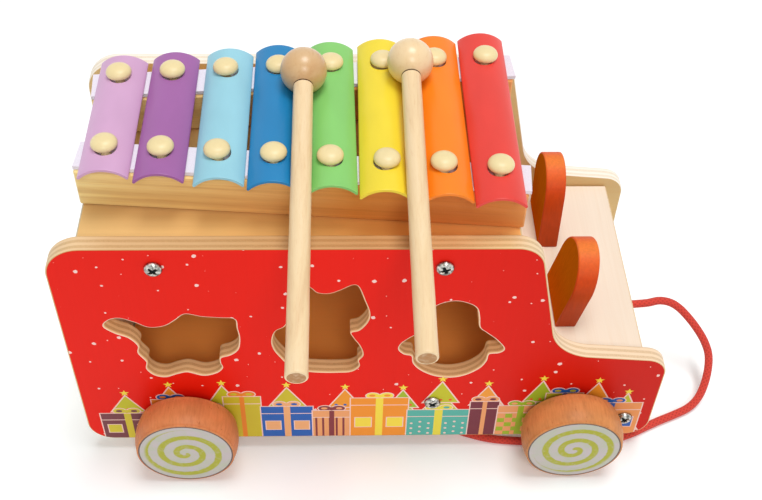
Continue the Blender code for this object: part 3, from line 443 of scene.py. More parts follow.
def plate(name, outline, holes, low, high, rim, hole_rim, slots, bend=None):
    """A plate between two Y values, in the XZ plane.

    Its rim and its holes' edges are quarter rounds: at angle a the wall is inset by rim (1 - sin a) and lies
    rim (1 - cos a) in from the face. slots numbers the low face, the rim, the high face and the holes' walls.
    bend may move the finished (n, 3) points.
    """
    angle = np.radians(np.linspace(0, 90, 7))
    bands = 2 * len(angle) - 1
    vertices, faces, numbers, flats = [], [], [], [[], []]
    first = 0
    for loop, radius, way in [(outline, rim, 1)] + [(hole, hole_rim, -1) for hole in holes]:
        inset = radius * (1 - np.sin(angle))
        depth = radius * (1 - np.cos(angle))
        inset = np.concatenate([inset, inset[::-1]])
        y = np.concatenate([low + depth, (high - depth)[::-1]])
        flat = loop[None] + inset[:, None, None] * way * inward(loop)[None]
        ring = np.stack([flat[..., 0], np.broadcast_to(y[:, None], flat.shape[:2]), flat[..., 1]], -1)
        quads = grid_faces(len(y), len(loop), first=first)[0]
        faces += quads[:, ::way].tolist()
        numbers += [slots[1] if way > 0 else slots[3]] * len(quads)
        flats[0].append((ring[0], first))
        flats[1].append((ring[-1], first + bands * len(loop)))
        vertices.append(ring.reshape(-1, 3))
        first += len(vertices[-1])
    vertices = np.concatenate(vertices)
    walls = np.array(faces)
    for loops, number, turn in ((flats[0], slots[0], 1), (flats[1], slots[2], -1)):
        index = np.concatenate([start + np.arange(len(ring)) for ring, start in loops])
        cap = index[np.array(tessellate_polygon([[(x, z, 0) for x, _, z in ring] for ring, _ in loops]))]
        a, b, c = vertices[cap].transpose(1, 0, 2)
        wrong = np.cross(b - a, c - a)[:, 1] * turn > 0
        cap[wrong] = cap[wrong][:, ::-1]
        faces += cap.tolist()
        numbers += [number] * len(cap)
    # the walls' quads are turned to agree with the flat faces
    a, b, c, d = vertices[walls[: len(outline) * bands]].transpose(1, 0, 2)
    out = (a + b + c + d) / 4 - vertices.mean(0)
    if np.einsum("ij,ij->", np.cross(b - a, c - a)[:, ::2], out[:, ::2]) < 0:
        faces[: len(walls)] = walls[:, ::-1].tolist()
    smooth = np.arange(len(faces)) < len(walls)
    return add_mesh(name, bend(vertices) if bend else vertices, faces, slots=numbers, smooth=smooth)


def filleted(corners, step):
    """Closed outline through (x, z, radius) corners with each one rounded, a point every step of angle or so."""
    corners = np.asarray(corners, float)
    out = []
    for k, (x, z, radius) in enumerate(corners):
        here = np.array([x, z])
        before = unit(corners[k - 1, :2] - here)
        after = unit(corners[(k + 1) % len(corners), :2] - here)
        half = math.acos(before @ after) / 2
        centre = here + unit(before + after) * radius / math.sin(half)
        first, last = (here + way * radius / math.tan(half) - centre for way in (before, after))
        start = math.atan2(first[1], first[0])
        sweep = (math.atan2(last[1], last[0]) - start + math.pi) % (2 * math.pi) - math.pi
        angle = start + sweep * np.linspace(0, 1, max(3, math.ceil(abs(sweep) / step) + 1))
        out.append(centre + radius * np.stack([np.cos(angle), np.sin(angle)], -1))
    return np.concatenate(out)


def panel_outline():
    """The side panels' outline: box cab, sloped screen, low bonnet, all corners rounded."""
    front = TAIL + CAB_LENGTH
    fold = front + (ROOF_LINE - BONNET_REAR_HEIGHT) * math.tan(SCREEN_RAKE)
    spots = [
        (TAIL, UNDERSIDE), (TAIL, ROOF_LINE), (front, ROOF_LINE), (fold, BONNET_REAR_HEIGHT),
        (NOSE, BONNET_NOSE_HEIGHT), (NOSE, UNDERSIDE),
    ]
    return filleted([(*spot, radius) for spot, radius in zip(spots, CORNER_RADII)], math.radians(4))


def hole_outlines():
    """The three sorting holes' outlines, curves through the shares of HOLE_SHARES."""
    return [
        catmull(np.array(HOLE_SHARES[name]) * (width, tall) + (TAIL + along, height), 8, closed=True)
        for name, (along, height, width, tall) in HOLE_SPOTS.items()
    ]


# ---- Materials

MIX = {"data_type": "RGBA"}
MULTIPLY = {"data_type": "RGBA", "blend_type": "MULTIPLY"}
WHITE = (1, 1, 1, 1)
BLACK = (0, 0, 0, 1)


def feed(tree, value, socket):
    """Give an input a constant, another socket's value or that of a node's first output in use."""
    if isinstance(value, bpy.types.Node):
        value = next(found for found in value.outputs if found.enabled)
    if isinstance(value, bpy.types.NodeSocket):
        tree.links.new(value, socket)
    else:
        socket.default_value = value


def add(tree, kind, *values, stops=(), **settings):
    """A shader node with its settings and links.

    values feed its inputs in order, and settings with a capital feed the inputs of their names; the other
    settings are the node's own. stops are a colour ramp's (place, colour) rows.
    """
    made = tree.nodes.new(f"ShaderNode{kind}")
    named = {key: settings.pop(key) for key in list(settings) if key[0].isupper()}
    for key, value in settings.items():
        setattr(made, key, value)
    for socket, value in zip([found for found in made.inputs if found.enabled], values):
        feed(tree, value, socket)
    for key, value in named.items():
        feed(tree, value, made.inputs[key.replace("_", " ")])
    if stops:
        band = made.color_ramp.elements
        while len(band) < len(stops):
            band.new(0.5)
        for element, (place, colour) in zip(band, stops):
            element.position = place
            element.color = colour
    return made


def new_material(name, **values):
    """A Principled material, its tree and its shader node."""
    made = bpy.data.materials.new(name)
    made.use_nodes = True
    shader = made.node_tree.nodes["Principled BSDF"]
    for key, value in values.items():
        shader.inputs[key.replace("_", " ")].default_value = value
    return made, made.node_tree, shader


def axes(tree, source="Object"):
    """The X, Y and Z of a place on the piece, as sockets."""
    return add(tree, "SeparateXYZ", add(tree, "TexCoord").outputs[source]).outputs


def placed(tree, *lengths, turn=(0, 0, 0)):
    """Coordinates on the piece, turned, then scaled to a pattern's size along X, Y and Z, or its one size."""
    spot = add(tree, "Mapping", add(tree, "TexCoord").outputs["Object"], Rotation=turn)
    scale = [1 / length for length in lengths * (3 // len(lengths))]
    return add(tree, "Mapping", spot, Scale=scale)


def shade(colour, factor):
    """A colour times a factor, at most 1."""
    return (*[min(1.0, c * factor) for c in colour[:3]], 1.0)


def tinted(colour, tint, share):
    """A colour moved a share of the way to a tint."""
    return (*[c * (1 - share) + t * share for c, t in zip(colour[:3], tint[:3])], 1.0)


def toned(tree, body, stops, axis="X", low=TAIL, high=NOSE):
    """The body colour times a ramp from low to high along an axis, which darkens or lightens it as painted shade and
    light.
    """
    share = add(tree, "MapRange", axes(tree)[axis], From_Min=low, From_Max=high)
    run = add(tree, "ValToRGB", share, stops=[(place, (*tone, 1)) for place, tone in stops])
    return add(tree, "Mix", 1.0, body, run, **MULTIPLY)


def finished(shaded, colour, height=None, distance=0.0, strength=1.0):
    """The material of new_material with its colour and, where it has one, a bump of a height in metres."""
    made, tree, shader = shaded
    feed(tree, colour, shader.inputs["Base Color"])
    if height:
        feed(tree, add(tree, "Bump", Height=height, Distance=distance, Strength=strength), shader.inputs["Normal"])
    return made


def sawn_wood(name, colour, grain, turn=(0, 0, 0), contrast=1.0, roughness=0.55, coat=0.0, tones=()):
    """Planed or turned wood: streaks drawn out along the grain, fine pores between them.

    The eye sees a warm, slightly uneven colour with darker threads; grain is the size of a streak along
    X, Y and Z, after the turn. tones are the stops of toned, for painted shade that darkens the wood from end to end.
    """
    shaded = new_material(name, Roughness=roughness, Coat_Weight=coat, Coat_Roughness=0.25, Specular_IOR_Level=0.3)
    tree = shaded[1]
    spot = placed(tree, *grain, turn=turn)
    broad = add(tree, "TexNoise", Vector=spot, Scale=0.35, Detail=3.0, Distortion=0.6)
    fine = add(tree, "TexNoise", Vector=spot, Scale=2.4, Detail=5.0, Roughness=0.65)
    dark = tinted(colour, linear("B26A28"), 0.32 * contrast)
    light = tinted(colour, linear("FFF3DA"), 0.22 * contrast)
    body = add(tree, "ValToRGB", broad, stops=[(0.30, dark), (0.52, colour), (0.72, light)])
    thread = add(tree, "ValToRGB", fine, stops=[(0.34, (0.80, 0.58, 0.36, 1)), (0.48, WHITE)])
    base = add(tree, "Mix", 0.35 * contrast, body, thread, **MULTIPLY)
    return finished(shaded, toned(tree, base, tones) if tones else base, fine, 0.12 * MM, 0.5)


def plywood(name, colour, axis, start, grain_axis="X", contrast=1.0, edge_tones=("F8DFBC", "E6C79C"), tones=()):
    """Birch plywood: pale veneer on its two faces, and on its edges alternate pale and brown plies.

    The eye sees thin lines round every edge. axis is the way through the board, start its lower face there;
    edge_tones are the pale and the brown ply, tones the stops of toned for the whole board.
    """
    shaded = new_material(name, Roughness=0.5, Specular_IOR_Level=0.25)
    tree = shaded[1]
    spot = placed(tree, *[70 * MM if letter == grain_axis else 1.6 * MM for letter in "XYZ"])
    veneer = add(tree, "TexNoise", Vector=spot, Scale=1.0, Detail=5.0, Distortion=0.4)
    cloud = add(tree, "TexNoise", Vector=spot, Scale=0.12, Detail=2.0)
    low = tinted(colour, linear("D9A45E"), 0.20 * contrast)
    face = add(tree, "ValToRGB", veneer, stops=[(0.32, low), (0.50, colour), (0.75, shade(colour, 1.03))])
    patches = add(tree, "ValToRGB", cloud, stops=[(0.3, low), (0.65, colour)])
    face = add(tree, "Mix", 0.4, face, patches, **MIX)

    # how many plies deep a place lies, with a little wobble
    wobble = add(tree, "TexNoise", Vector=placed(tree, 9 * MM), Scale=1.0, Detail=2.0)
    wobble = add(tree, "Math", add(tree, "Math", wobble, 0.5, operation="SUBTRACT"), 0.07, operation="MULTIPLY")
    depth = add(tree, "Math", add(tree, "Math", axes(tree)[axis], start, operation="SUBTRACT"), PLY, operation="DIVIDE")
    depth = add(tree, "Math", add(tree, "Math", depth, wobble, operation="ADD"), sizes().plies, operation="MULTIPLY")
    layer = add(tree, "Math", depth, 1.0, operation="PINGPONG")
    fibre = add(tree, "TexNoise", Vector=placed(tree, 0.5 * MM), Scale=1.0, Detail=4.0)
    pale, brown = (linear(tone) for tone in edge_tones)
    # an odd ply shows its fibres' ends, which are browner and pitted
    pits = add(tree, "ValToRGB", fibre, stops=[(0.3, shade(brown, 0.72)), (0.7, pale)])
    ends = add(tree, "Mix", 0.4, brown, pits, **MIX)
    odd = add(tree, "ValToRGB", layer, stops=[(0.35, BLACK), (0.65, WHITE)])
    edge = add(tree, "Mix", odd, pale, ends, **MIX)

    facing = add(tree, "Math", axes(tree, "Normal")[axis], operation="ABSOLUTE")
    facing = add(tree, "Math", facing, 0.9, operation="GREATER_THAN")
    board = add(tree, "Mix", facing, edge, face, **MIX)
    return finished(shaded, toned(tree, board, tones) if tones else board, veneer, 0.08 * MM, 0.4)


def red_print():
    """Screen-printed red ink under lacquer, with small pale dots scattered like snow.

    The eye sees a slightly glossy red, darker towards the nose as painted shade; the veneer's grain just shows.
    A dot lies round a cell's middle; its radius goes with the cell's own random number, and its edge is ragged.
    """
    shaded = new_material("screen_printed_red_ink", Roughness=0.42, Specular_IOR_Level=0.1)
    tree = shaded[1]
    spot = axes(tree)
    flat = add(tree, "CombineXYZ", spot["X"], spot["Z"])
    spacing = sizes().snow_spacing
    cells = add(tree, "TexVoronoi", voronoi_dimensions="2D", Vector=flat, Scale=1 / spacing, Randomness=1.0)
    luck = add(tree, "Math", add(tree, "SeparateColor", cells.outputs["Color"]), 1.6, operation="POWER")
    radius = add(tree, "Math", luck, sizes().snow_radius / spacing, operation="MULTIPLY")
    ragged = add(tree, "TexNoise", Vector=flat, Scale=1 / (1.1 * MM), Detail=1.0)
    ragged = add(tree, "Math", ragged, 0.9, 0.55, operation="MULTIPLY_ADD")
    edge = add(tree, "Math", radius, ragged, operation="MULTIPLY")
    dot = add(tree, "Math", cells.outputs["Distance"], edge, operation="LESS_THAN")
    above = add(tree, "Math", spot["Z"], UNDERSIDE + DOTLESS_FOOT, operation="GREATER_THAN")
    dot = add(tree, "Math", dot, above, operation="MULTIPLY")
    veneer = add(tree, "TexNoise", Vector=placed(tree, 1.4 * MM, 1.4 * MM, 40 * MM), Scale=1.0, Detail=3.0)
    ink = colours().print_red
    body = add(tree, "ValToRGB", veneer, stops=[(0.3, shade(ink, 0.98)), (0.7, ink)])
    # the ink's ramp along the panel is painted shade
    body = add(tree, "Mix", dot, toned(tree, body, PRINT_SHADE_TONES), colours().dots, **MIX)
    return finished(shaded, body, veneer, 0.03 * MM, 0.2)


def picture_print():
    """Flat printed inks of many colours, each shape's colour in the print_colour attribute."""
    shaded = new_material("screen_printed_inks", Roughness=0.42, Specular_IOR_Level=0.15)
    return finished(shaded, add(shaded[1], "Attribute", attribute_name="print_colour"))


def enamel(name, colour):
    """Powder coat on sheet steel: a saturated satin colour with a soft, faintly pebbled gloss."""
    shaded = new_material(name, Roughness=0.34, Specular_IOR_Level=0.35)
    tree = shaded[1]
    cloud = add(tree, "TexNoise", Vector=placed(tree, 14 * MM, 30 * MM, 14 * MM), Scale=1.0, Detail=2.0)
    body = add(tree, "ValToRGB", cloud, stops=[(0.3, shade(colour, 0.95)), (0.7, shade(colour, 1.03))])
    peel = add(tree, "TexNoise", Vector=placed(tree, 1.2 * MM), Scale=1.0, Detail=2.0)
    return finished(shaded, body, peel, 0.03 * MM, 0.4)


def ear_paint(name, paint, gloss, stops):
    """Brushed paint on a sawn plate: orange, deeper in the brush marks, with painted shade towards the foot and painted
    light near the top.

    stops are shares of the plate's height and factors on red, green and blue.
    """
    shaded = new_material(name, Roughness=0.5, Specular_IOR_Level=gloss)
    tree = shaded[1]
    low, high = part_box("bonnet_ear_right")
    marks = add(tree, "TexNoise", Vector=placed(tree, 1.2 * MM, 1.2 * MM, 20 * MM), Scale=1.0, Detail=4.0)
    body = add(tree, "ValToRGB", marks, stops=[(0.3, shade(paint, 0.9)), (0.65, shade(paint, 1.03))])
    return finished(shaded, toned(tree, body, stops, "Z", low.z, high.z), marks, 0.06 * MM, 0.4)


def felt():
    """Pressed felt: matt and pale, with short fibres lying every way."""
    shaded = new_material("pressed_felt", Roughness=0.95, Sheen_Weight=0.35, Sheen_Roughness=0.6)
    tree = shaded[1]
    hair = add(tree, "TexNoise", Vector=placed(tree, 0.5 * MM), Scale=1.0, Detail=6.0, Roughness=0.8, Distortion=1.5)
    cloth = colours().felt
    body = add(tree, "ValToRGB", hair, stops=[(0.3, shade(cloth, 0.82)), (0.6, cloth)])
    return finished(shaded, body, hair, 0.25 * MM, 0.7)


def zinc():
    """Bright zinc plate on a pressed screw: clear metal, its colour mottled dark and light as a painted reflection, its
    roughness patchy.
    """
    shaded = new_material("bright_zinc_plate", Metallic=1.0, Roughness=0.24)
    tree, shader = shaded[1:]
    reflection_mottle = add(tree, "TexNoise", Vector=placed(tree, 1.3 * MM), Scale=1.0, Detail=3.0)
    # dark and light patches of base colour are a painted reflection
    body = add(tree, "ValToRGB", reflection_mottle, stops=[(0.38, linear("6E706C")), (0.62, linear("D6D4CC"))])
    feed(tree, add(tree, "MapRange", reflection_mottle, To_Min=0.14, To_Max=0.34), shader.inputs["Roughness"])
    return finished(shaded, body)


def recess_shadow():
    """Painted shade down in a screw's cross: nearly black metal, hardly any gloss."""
    shaded = new_material("dull_zinc_in_recess", Metallic=0.2, Roughness=0.8, Specular_IOR_Level=0.1)
    tree = shaded[1]
    recess_shade_mottle = add(tree, "TexNoise", Vector=placed(tree, 0.3 * MM), Scale=1.0, Detail=2.0)
    return finished(shaded, add(tree, "ValToRGB", recess_shade_mottle, stops=[(0.3, linear("141A1B")), (0.7, linear("30393A"))]))


def wheel_wood(name, tint):
    """Turned beech under an orange-brown tint: warm, with short darker flecks."""
    shaded = new_material(name, Roughness=0.45, Specular_IOR_Level=0.2)
    tree = shaded[1]
    cloud = placed(tree, 12 * MM, 14 * MM, 12 * MM)
    cloud = add(tree, "TexNoise", Vector=cloud, Scale=1.0, Detail=3.0, Distortion=0.5)
    streak = add(tree, "TexNoise", Vector=placed(tree, 1.1 * MM, 9 * MM, 1.1 * MM), Scale=1.0, Detail=4.0)
    fleck = add(tree, "TexNoise", Vector=placed(tree, 1.6 * MM, 3.2 * MM, 1.6 * MM), Scale=1.0, Detail=1.0)
    body = add(tree, "ValToRGB", cloud, stops=[(0.3, shade(tint, 0.84)), (0.5, tint), (0.72, shade(tint, 1.12))])
    streaks = add(tree, "ValToRGB", streak, stops=[(0.35, (0.7, 0.58, 0.5, 1)), (0.6, WHITE)])
    flecks = add(tree, "ValToRGB", fleck, stops=[(0.24, (0.62, 0.40, 0.30, 1)), (0.31, WHITE)])
    body = add(tree, "Mix", 0.35, body, streaks, **MULTIPLY)
    return finished(shaded, add(tree, "Mix", 0.6, body, flecks, **MULTIPLY), streak, 0.08 * MM, 0.4)


def wheel_print(name, start):
    """The wheel's printed face: a pale ground, a yellow-green spiral fading at its outer end, a thin dark rim.

    On the flat UV, with r and the turn t of a point from the middle, ink lies where r / pitch + t - start has a
    fraction under the spiral's share.
    """
    shaded = new_material(name, Roughness=0.4, Specular_IOR_Level=0.2)
    tree = shaded[1]
    spot = axes(tree, "UV")
    u, v = spot["X"], spot["Y"]
    radius = [add(tree, "Math", side, side, operation="MULTIPLY") for side in (u, v)]
    radius = add(tree, "Math", add(tree, "Math", *radius, operation="ADD"), operation="SQRT")
    turn = add(tree, "Math", add(tree, "Math", v, u, operation="ARCTAN2"), 2 * math.pi, operation="DIVIDE")
    ragged = add(tree, "TexNoise", Vector=placed(tree, 2.2 * MM), Scale=1.0, Detail=3.0)
    phase = add(tree, "Math", radius, sizes().spiral_pitch, operation="DIVIDE")
    phase = add(tree, "Math", phase, turn, operation="ADD")
    shaken = add(tree, "Math", ragged, 0.5, operation="SUBTRACT")
    phase = add(tree, "Math", shaken, 0.10, phase, operation="MULTIPLY_ADD")
    # three whole turns more keep it above zero
    phase = add(tree, "Math", add(tree, "Math", phase, start - 3, operation="SUBTRACT"), operation="FRACT")
    share = sizes().spiral_share
    wide = add(tree, "ValToRGB", phase, stops=[(0.0, BLACK), (0.05, WHITE), (share, WHITE), (share + 0.06, BLACK)])
    reach = add(tree, "Math", radius, WHEEL_FACE_RADIUS, operation="DIVIDE")
    inside = add(tree, "ValToRGB", reach, stops=[(0.82, WHITE), (0.88, BLACK)])
    worn = add(tree, "ValToRGB", ragged, stops=[(0.3, (0.75, 0.75, 0.75, 1)), (0.5, WHITE)])
    ink = add(tree, "Math", add(tree, "Math", wide, inside, operation="MULTIPLY"), worn, operation="MULTIPLY")
    cloud = add(tree, "TexNoise", Vector=placed(tree, 6 * MM), Scale=1.0, Detail=3.0)
    ground = [tinted(colours().disc, linear(tone), 0.5) for tone in ("C8B8C4", "B8BEA8")]
    ground = add(tree, "ValToRGB", cloud, stops=[(0.35, ground[0]), (0.65, ground[1])])
    body = add(tree, "Mix", ink, ground, colours().spiral, **MIX)
    line = add(tree, "Math", radius, WHEEL_FACE_RADIUS - WHEEL_LINE, operation="GREATER_THAN")
    return finished(shaded, add(tree, "Mix", line, body, linear("6B5750"), **MIX), ragged, 0.04 * MM, 0.3)


def braid():
    """Braided polyester cord: bright red, two sets of strands crossing in a fine herringbone.

    On the UV, u goes once round and v along in braid repeats; a strand's height is the larger of
    sin(6u + v) and sin(6u - v), in turns.
    """
    shaded = new_material("braided_polyester_cord", Roughness=0.85, Specular_IOR_Level=0.2, Sheen_Weight=0.15)
    tree = shaded[1]
    spot = axes(tree, "UV")
    around = add(tree, "Math", spot["X"], 2 * math.pi * 6, operation="MULTIPLY")
    along = add(tree, "Math", spot["Y"], 2 * math.pi, operation="MULTIPLY")
    strands = [add(tree, "Math", add(tree, "Math", around, along, operation=way), operation="SINE")
               for way in ("ADD", "SUBTRACT")]
    height = add(tree, "Math", *strands, operation="MAXIMUM")
    height = add(tree, "Math", height, 0.5, 0.5, operation="MULTIPLY_ADD")
    dye = colours().cord
    # the valleys between strands are darkened as painted shade
    body = add(tree, "ValToRGB", height, stops=[(0.35, shade(dye, 0.74)), (0.8, dye)])
    return finished(shaded, body, height, 0.2 * MM, 0.6)


def dress(thing, materials, body, replaces=()):
    """Give a piece its materials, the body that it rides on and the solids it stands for."""
    for material in materials:
        thing.data.materials.append(material)
    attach(thing, body)
    if replaces:
        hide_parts(*replaces)


def repaint(node, material):
    """Give a CAD node its material; the node keeps its shape."""
    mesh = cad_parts[node].data
    mesh.materials.clear()
    mesh.materials.append(material)


# ---- Pieces


def rectangle(x, z, width, height):
    """Four corners, from the lower left one."""
    return np.array([(x, z), (x + width, z), (x + width, z + height), (x, z + height)])


def disc(x, z, radius, tall=None, count=14):
    """An ellipse's outline, round where no height is given."""
    angle = 2 * np.pi * np.arange(count) / count
    return np.stack([x + radius * np.cos(angle), z + (tall or radius) * np.sin(angle)], -1)


def parcel(x, z, width, height, paper, ribbon, pattern):
    """Printed shapes of a wrapped parcel, back to front, each a colour and an outline in millimetres."""
    line, lid = 0.6, min(6.0, height * 0.24)
    top = z + height
    middle = x + width / 2
    band = max(2.4, width * 0.13)
    out = []
    for way in (-1, 1):
        out.append((PALE, disc(middle + way * 3.6, top + 2.2, 4.0, 2.9)))
        out.append((ribbon, disc(middle + way * 3.6, top + 2.2, 3.4, 2.3)))
        out.append((paper, disc(middle + way * 3.9, top + 2.2, 1.7, 1.0)))
    out.append((PALE, rectangle(x - line, z, width + 2 * line, height + line)))
    out.append((paper, rectangle(x, z, width, height)))
    step = {"stripes": 3.6, "dots": 4.6, "checks": 4}.get(pattern, width)
    cells = list(np.ndindex(int(width // step), int((height - lid) // step)))
    if pattern == "stripes":
        out += [(ribbon, rectangle(x + 1.2 + k * step, z, 1.1, height - lid)) for k in range(int((width - 1) / step))]
    elif pattern == "dots":
        out += [(PALE, disc(x + 2.4 + step * k, z + 2.6 + step * j + (k % 2) * 1.4, 0.8, count=8)) for k, j in cells]
    elif pattern == "checks":
        out += [(ribbon, rectangle(x + step * k + 0.3, z + step * j + 0.3, 3.7, 3.7)) for k, j in cells if (k + j) % 2]
    elif pattern == "panes":
        pane = min(width * 0.28, height * 0.3)
        for way in (-1, 1):
            corner = middle + way * width * 0.28 - pane / 2, z + height * 0.26
            out.append((PALE, rectangle(corner[0] - 0.5, corner[1] - 0.5, pane + 1, pane + 1)))
            out.append((ribbon, rectangle(*corner, pane, pane)))
    out.append((PALE, rectangle(x - line, top - lid - 0.5, width + 2 * line, 0.6)))
    out.append((ribbon, rectangle(middle - band / 2, z, band, height)))
    out.append((ribbon, disc(middle, top + 1.8, 1.5)))
    return out


def fir(x, z, width, height, leaf, trim):
    """Printed shapes of a fir tree with a star: a trunk and three tiers with pale edges."""
    out = [("9A5A3C", rectangle(x - width * 0.07, z, width * 0.14, height * 0.3))]
    for k in range(3):
        low = z + height * (0.12 + 0.25 * k)
        half = width * (0.5 - 0.11 * k)
        tall = height * (0.46 - 0.06 * k)
        tier = np.array([(x - half, low), (x + half, low), (x, low + tall)])
        out.append((PALE, tier + (tier - tier.mean(0)) * (1.3 / half)))
        out.append((leaf, tier))
        out += [(trim, disc(x + way * half * 1.1, low + 2.1, 0.9, count=8)) for way in (-0.5, 0.0, 0.5)]
    turn = np.pi * np.arange(10) / 5 + np.pi / 2
    reach = np.where(np.arange(10) % 2, 1.1, 2.6)
    out.append(("FBE04A", np.stack([x + reach * np.cos(turn), z + height + 1.0 + reach * np.sin(turn)], -1)))
    return out


def picture_row():
    """The printed band along the foot of a panel: fir trees behind a row of parcels."""
    foot = UNDERSIDE / MM
    row = []
    for x, width, height, leaf, trim in FIRS:
        row += fir(x, foot, width, height, leaf, trim)
    for x, width, height, paper, ribbon, pattern in PARCELS:
        row += parcel(x, foot, width, height, paper, ribbon, pattern)
    return row


def printed_band(name, face, way):
    """The printed band as one flat sheet of ink on a panel's outer face, which looks way along Y.

    All outlines, counterclockwise, are laid over each other in one flat subdivision. Each of its faces takes the
    colour of the front shape over it, and faces outside the panel's flat face are dropped.
    """
    edge = panel_outline()
    shapes = picture_row()
    outlines = [(edge + PANEL_RIM * inward(edge))[::-1] / MM] + [outline for _, outline in shapes]
    starts = np.cumsum([0] + [len(outline) for outline in outlines]).tolist()
    loops = [list(range(first, last)) for first, last in zip(starts, starts[1:])]
    spots = [Vector(spot) for spot in np.concatenate(outlines).tolist()]
    found, _, cells, _, _, owners = delaunay_2d_cdt(spots, [], loops, 1, 1e-4)
    cells = [(cell, max(owner) - 1) for cell, owner in zip(cells, owners) if 0 in owner and len(owner) > 1]
    mesh = bpy.data.meshes.new(name)
    y = face + way * INK_LIFT
    mesh.from_pydata([(x * MM, y, z * MM) for x, z in found], [], [cell[::-way] for cell, _ in cells])
    inks = np.concatenate([np.tile(linear(shapes[shape][0]), len(cell)) for cell, shape in cells])
    ink = mesh.color_attributes.new("print_colour", "FLOAT_COLOR", "CORNER")
    ink.data.foreach_set("color", inks.astype(np.float32))
    return linked(name, mesh)


def build_panels():
    """Two printed plywood side panels with shaped sorting holes."""
    print_red, picture = red_print(), picture_print()
    for side, (low, high, way) in SIDES.items():
        near = way < 0
        # the near panel's edge is tan with painted shade along the cab, and paler round the bonnet
        bare = plywood(f"birch_plywood_panel_{side}", colours().shaded_lining, "Y", low,
                       edge_tones=("F8DFBC", "E6C79C") if near else ("FFF5E6", "F8E8CE"),
                       tones=CAB_EDGE_SHADE_TONES if near else ())
        # the holes' walls are warmer than the edge: partly the sawn wood's own tone, partly painted shade
        sawn = plywood(f"sawn_ply_hole_{side}", colours().birch, "Y", low, edge_tones=("FFCF98", "E6AC74"))
        made = plate(f"printed_panel_{side}", panel_outline(), hole_outlines(), low, high, PANEL_RIM,
                     sizes().hole_rim, (0, 1, 1, 2) if near else (1, 1, 0, 2))
        dress(made, [print_red, bare, sawn], "truck", [f"side_panel_{side}"])
        made = printed_band(f"panel_picture_{side}", low if near else high, way)
        dress(made, [picture], "truck")


def build_boards():
    """The plywood boards between the panels keep their CAD shape."""
    for node, axis, grain in (
        ("roof_board", "Z", "X"), ("floor_board", "Z", "X"), ("bonnet_board", "Z", "Y"),
        ("front_board", "X", "Y"), ("rear_board", "X", "Y"), ("windscreen_board", "X", "Y"),
    ):
        start = getattr(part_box(node)[0], axis.lower())
        wood = {"roof_board": colours().roof, "floor_board": colours().inside}.get(node, colours().birch)
        # the roof board's ramp is painted shade
        tones = ROOF_SHADE_TONES if node == "roof_board" else ()
        repaint(node, plywood(f"birch_plywood_{node}", wood, axis, start, grain, 0.6, tones=tones))


def screw_head(name, spot, way, turn):
    """A pan head with a cross recess, in polar rows.

    Its height is a flat-topped dome, H (1 - (r / R)^4)^0.5; where the point is within a slot's half width of
    either of two crossed lines and inside the cross's reach, it drops by the recess depth.
    """
    # close rows as far as the cross reaches, wider ones beyond it
    share = np.concatenate([np.linspace(0.02, 0.62, 26), np.linspace(0.64, 1.0, 14)])
    sides = 96
    angle = 2 * np.pi * np.arange(sides) / sides + 0.6
    r, a = np.meshgrid(share, angle, indexing="ij")
    # 1 down in the cross and 0 beside it, with eased walls
    slot = np.minimum(np.abs(r * np.cos(a - turn)), np.abs(r * np.sin(a - turn)))
    half = CROSS_HALF_WIDTH * (1.05 - r)
    inside = 1 / (1 + np.exp((slot - half - 0.035) / 0.012)) / (1 + np.exp((r - CROSS_REACH) / 0.02))
    lift = np.clip(np.sqrt(1 - r**4) - inside * CROSS_DEPTH, 0, 1)
    # a hair down the head's side, in to the shank and two heads' height down it
    down = np.repeat([-0.02 * MM, -0.02 * MM, -2 * SCREW_HEAD_HEIGHT], sides).reshape(3, sides)
    lift = np.concatenate([SCREW_HEAD_HEIGHT * lift, down])
    across = np.append(SCREW_HEAD_RADIUS * share, [SCREW_HEAD_RADIUS, SCREW_SHANK, SCREW_SHANK])[:, None]
    points = np.stack([across * np.cos(angle), way * (SEAT + lift), across * np.sin(angle)], -1) + spot
    made = lofted(name, points)
    centre = np.empty(len(made.data.polygons) * 3)
    made.data.polygons.foreach_get("center", centre)
    x, y, z = (centre.reshape(-1, 3) - spot).T
    # faces down in the cross take the painted recess shade
    deep = way * y - SEAT < SCREW_HEAD_HEIGHT * CROSS_DEPTH
    deep &= np.hypot(x, z) < SCREW_HEAD_RADIUS * CROSS_EDGE
    made.data.polygons.foreach_set("material_index", deep.astype(np.int32))
    return made


def build_screws():
    """Ten pan-head screws, five through each panel."""
    metals = [zinc(), recess_shadow()]
    for side, (low, high, way) in SIDES.items():
        for place, turn in SCREW_TURNS.items():
            node = f"screw_{place}_{side}"
            x, _, z = middle_of(node)
            spot = (x, low if way < 0 else high, z)
            made = screw_head(f"cross_head_{place}_{side}", spot, way, math.radians(turn))
            dress(made, metals, "truck", [node])


def ear_outline(shift):
    """A foot and a round lobe joined by tangent lines, as (n, 2) points."""
    lobe = np.array([shift, EAR_LOBE_HEIGHT])
    ends = []
    for way in (1, -1):
        away = np.array([way * EAR_FOOT / 2, 0]) - lobe
        ends.append(math.atan2(away[1], away[0]) + way * math.acos(EAR_LOBE_RADIUS / np.linalg.norm(away)))
    round_top = arc(lobe, EAR_LOBE_RADIUS, math.degrees(ends[0]), math.degrees(ends[1]) + 360, 60)
    foot = np.stack([np.linspace(-EAR_FOOT / 2, EAR_FOOT / 2, 20), np.zeros(20)], -1)
    return np.concatenate([foot, round_top])


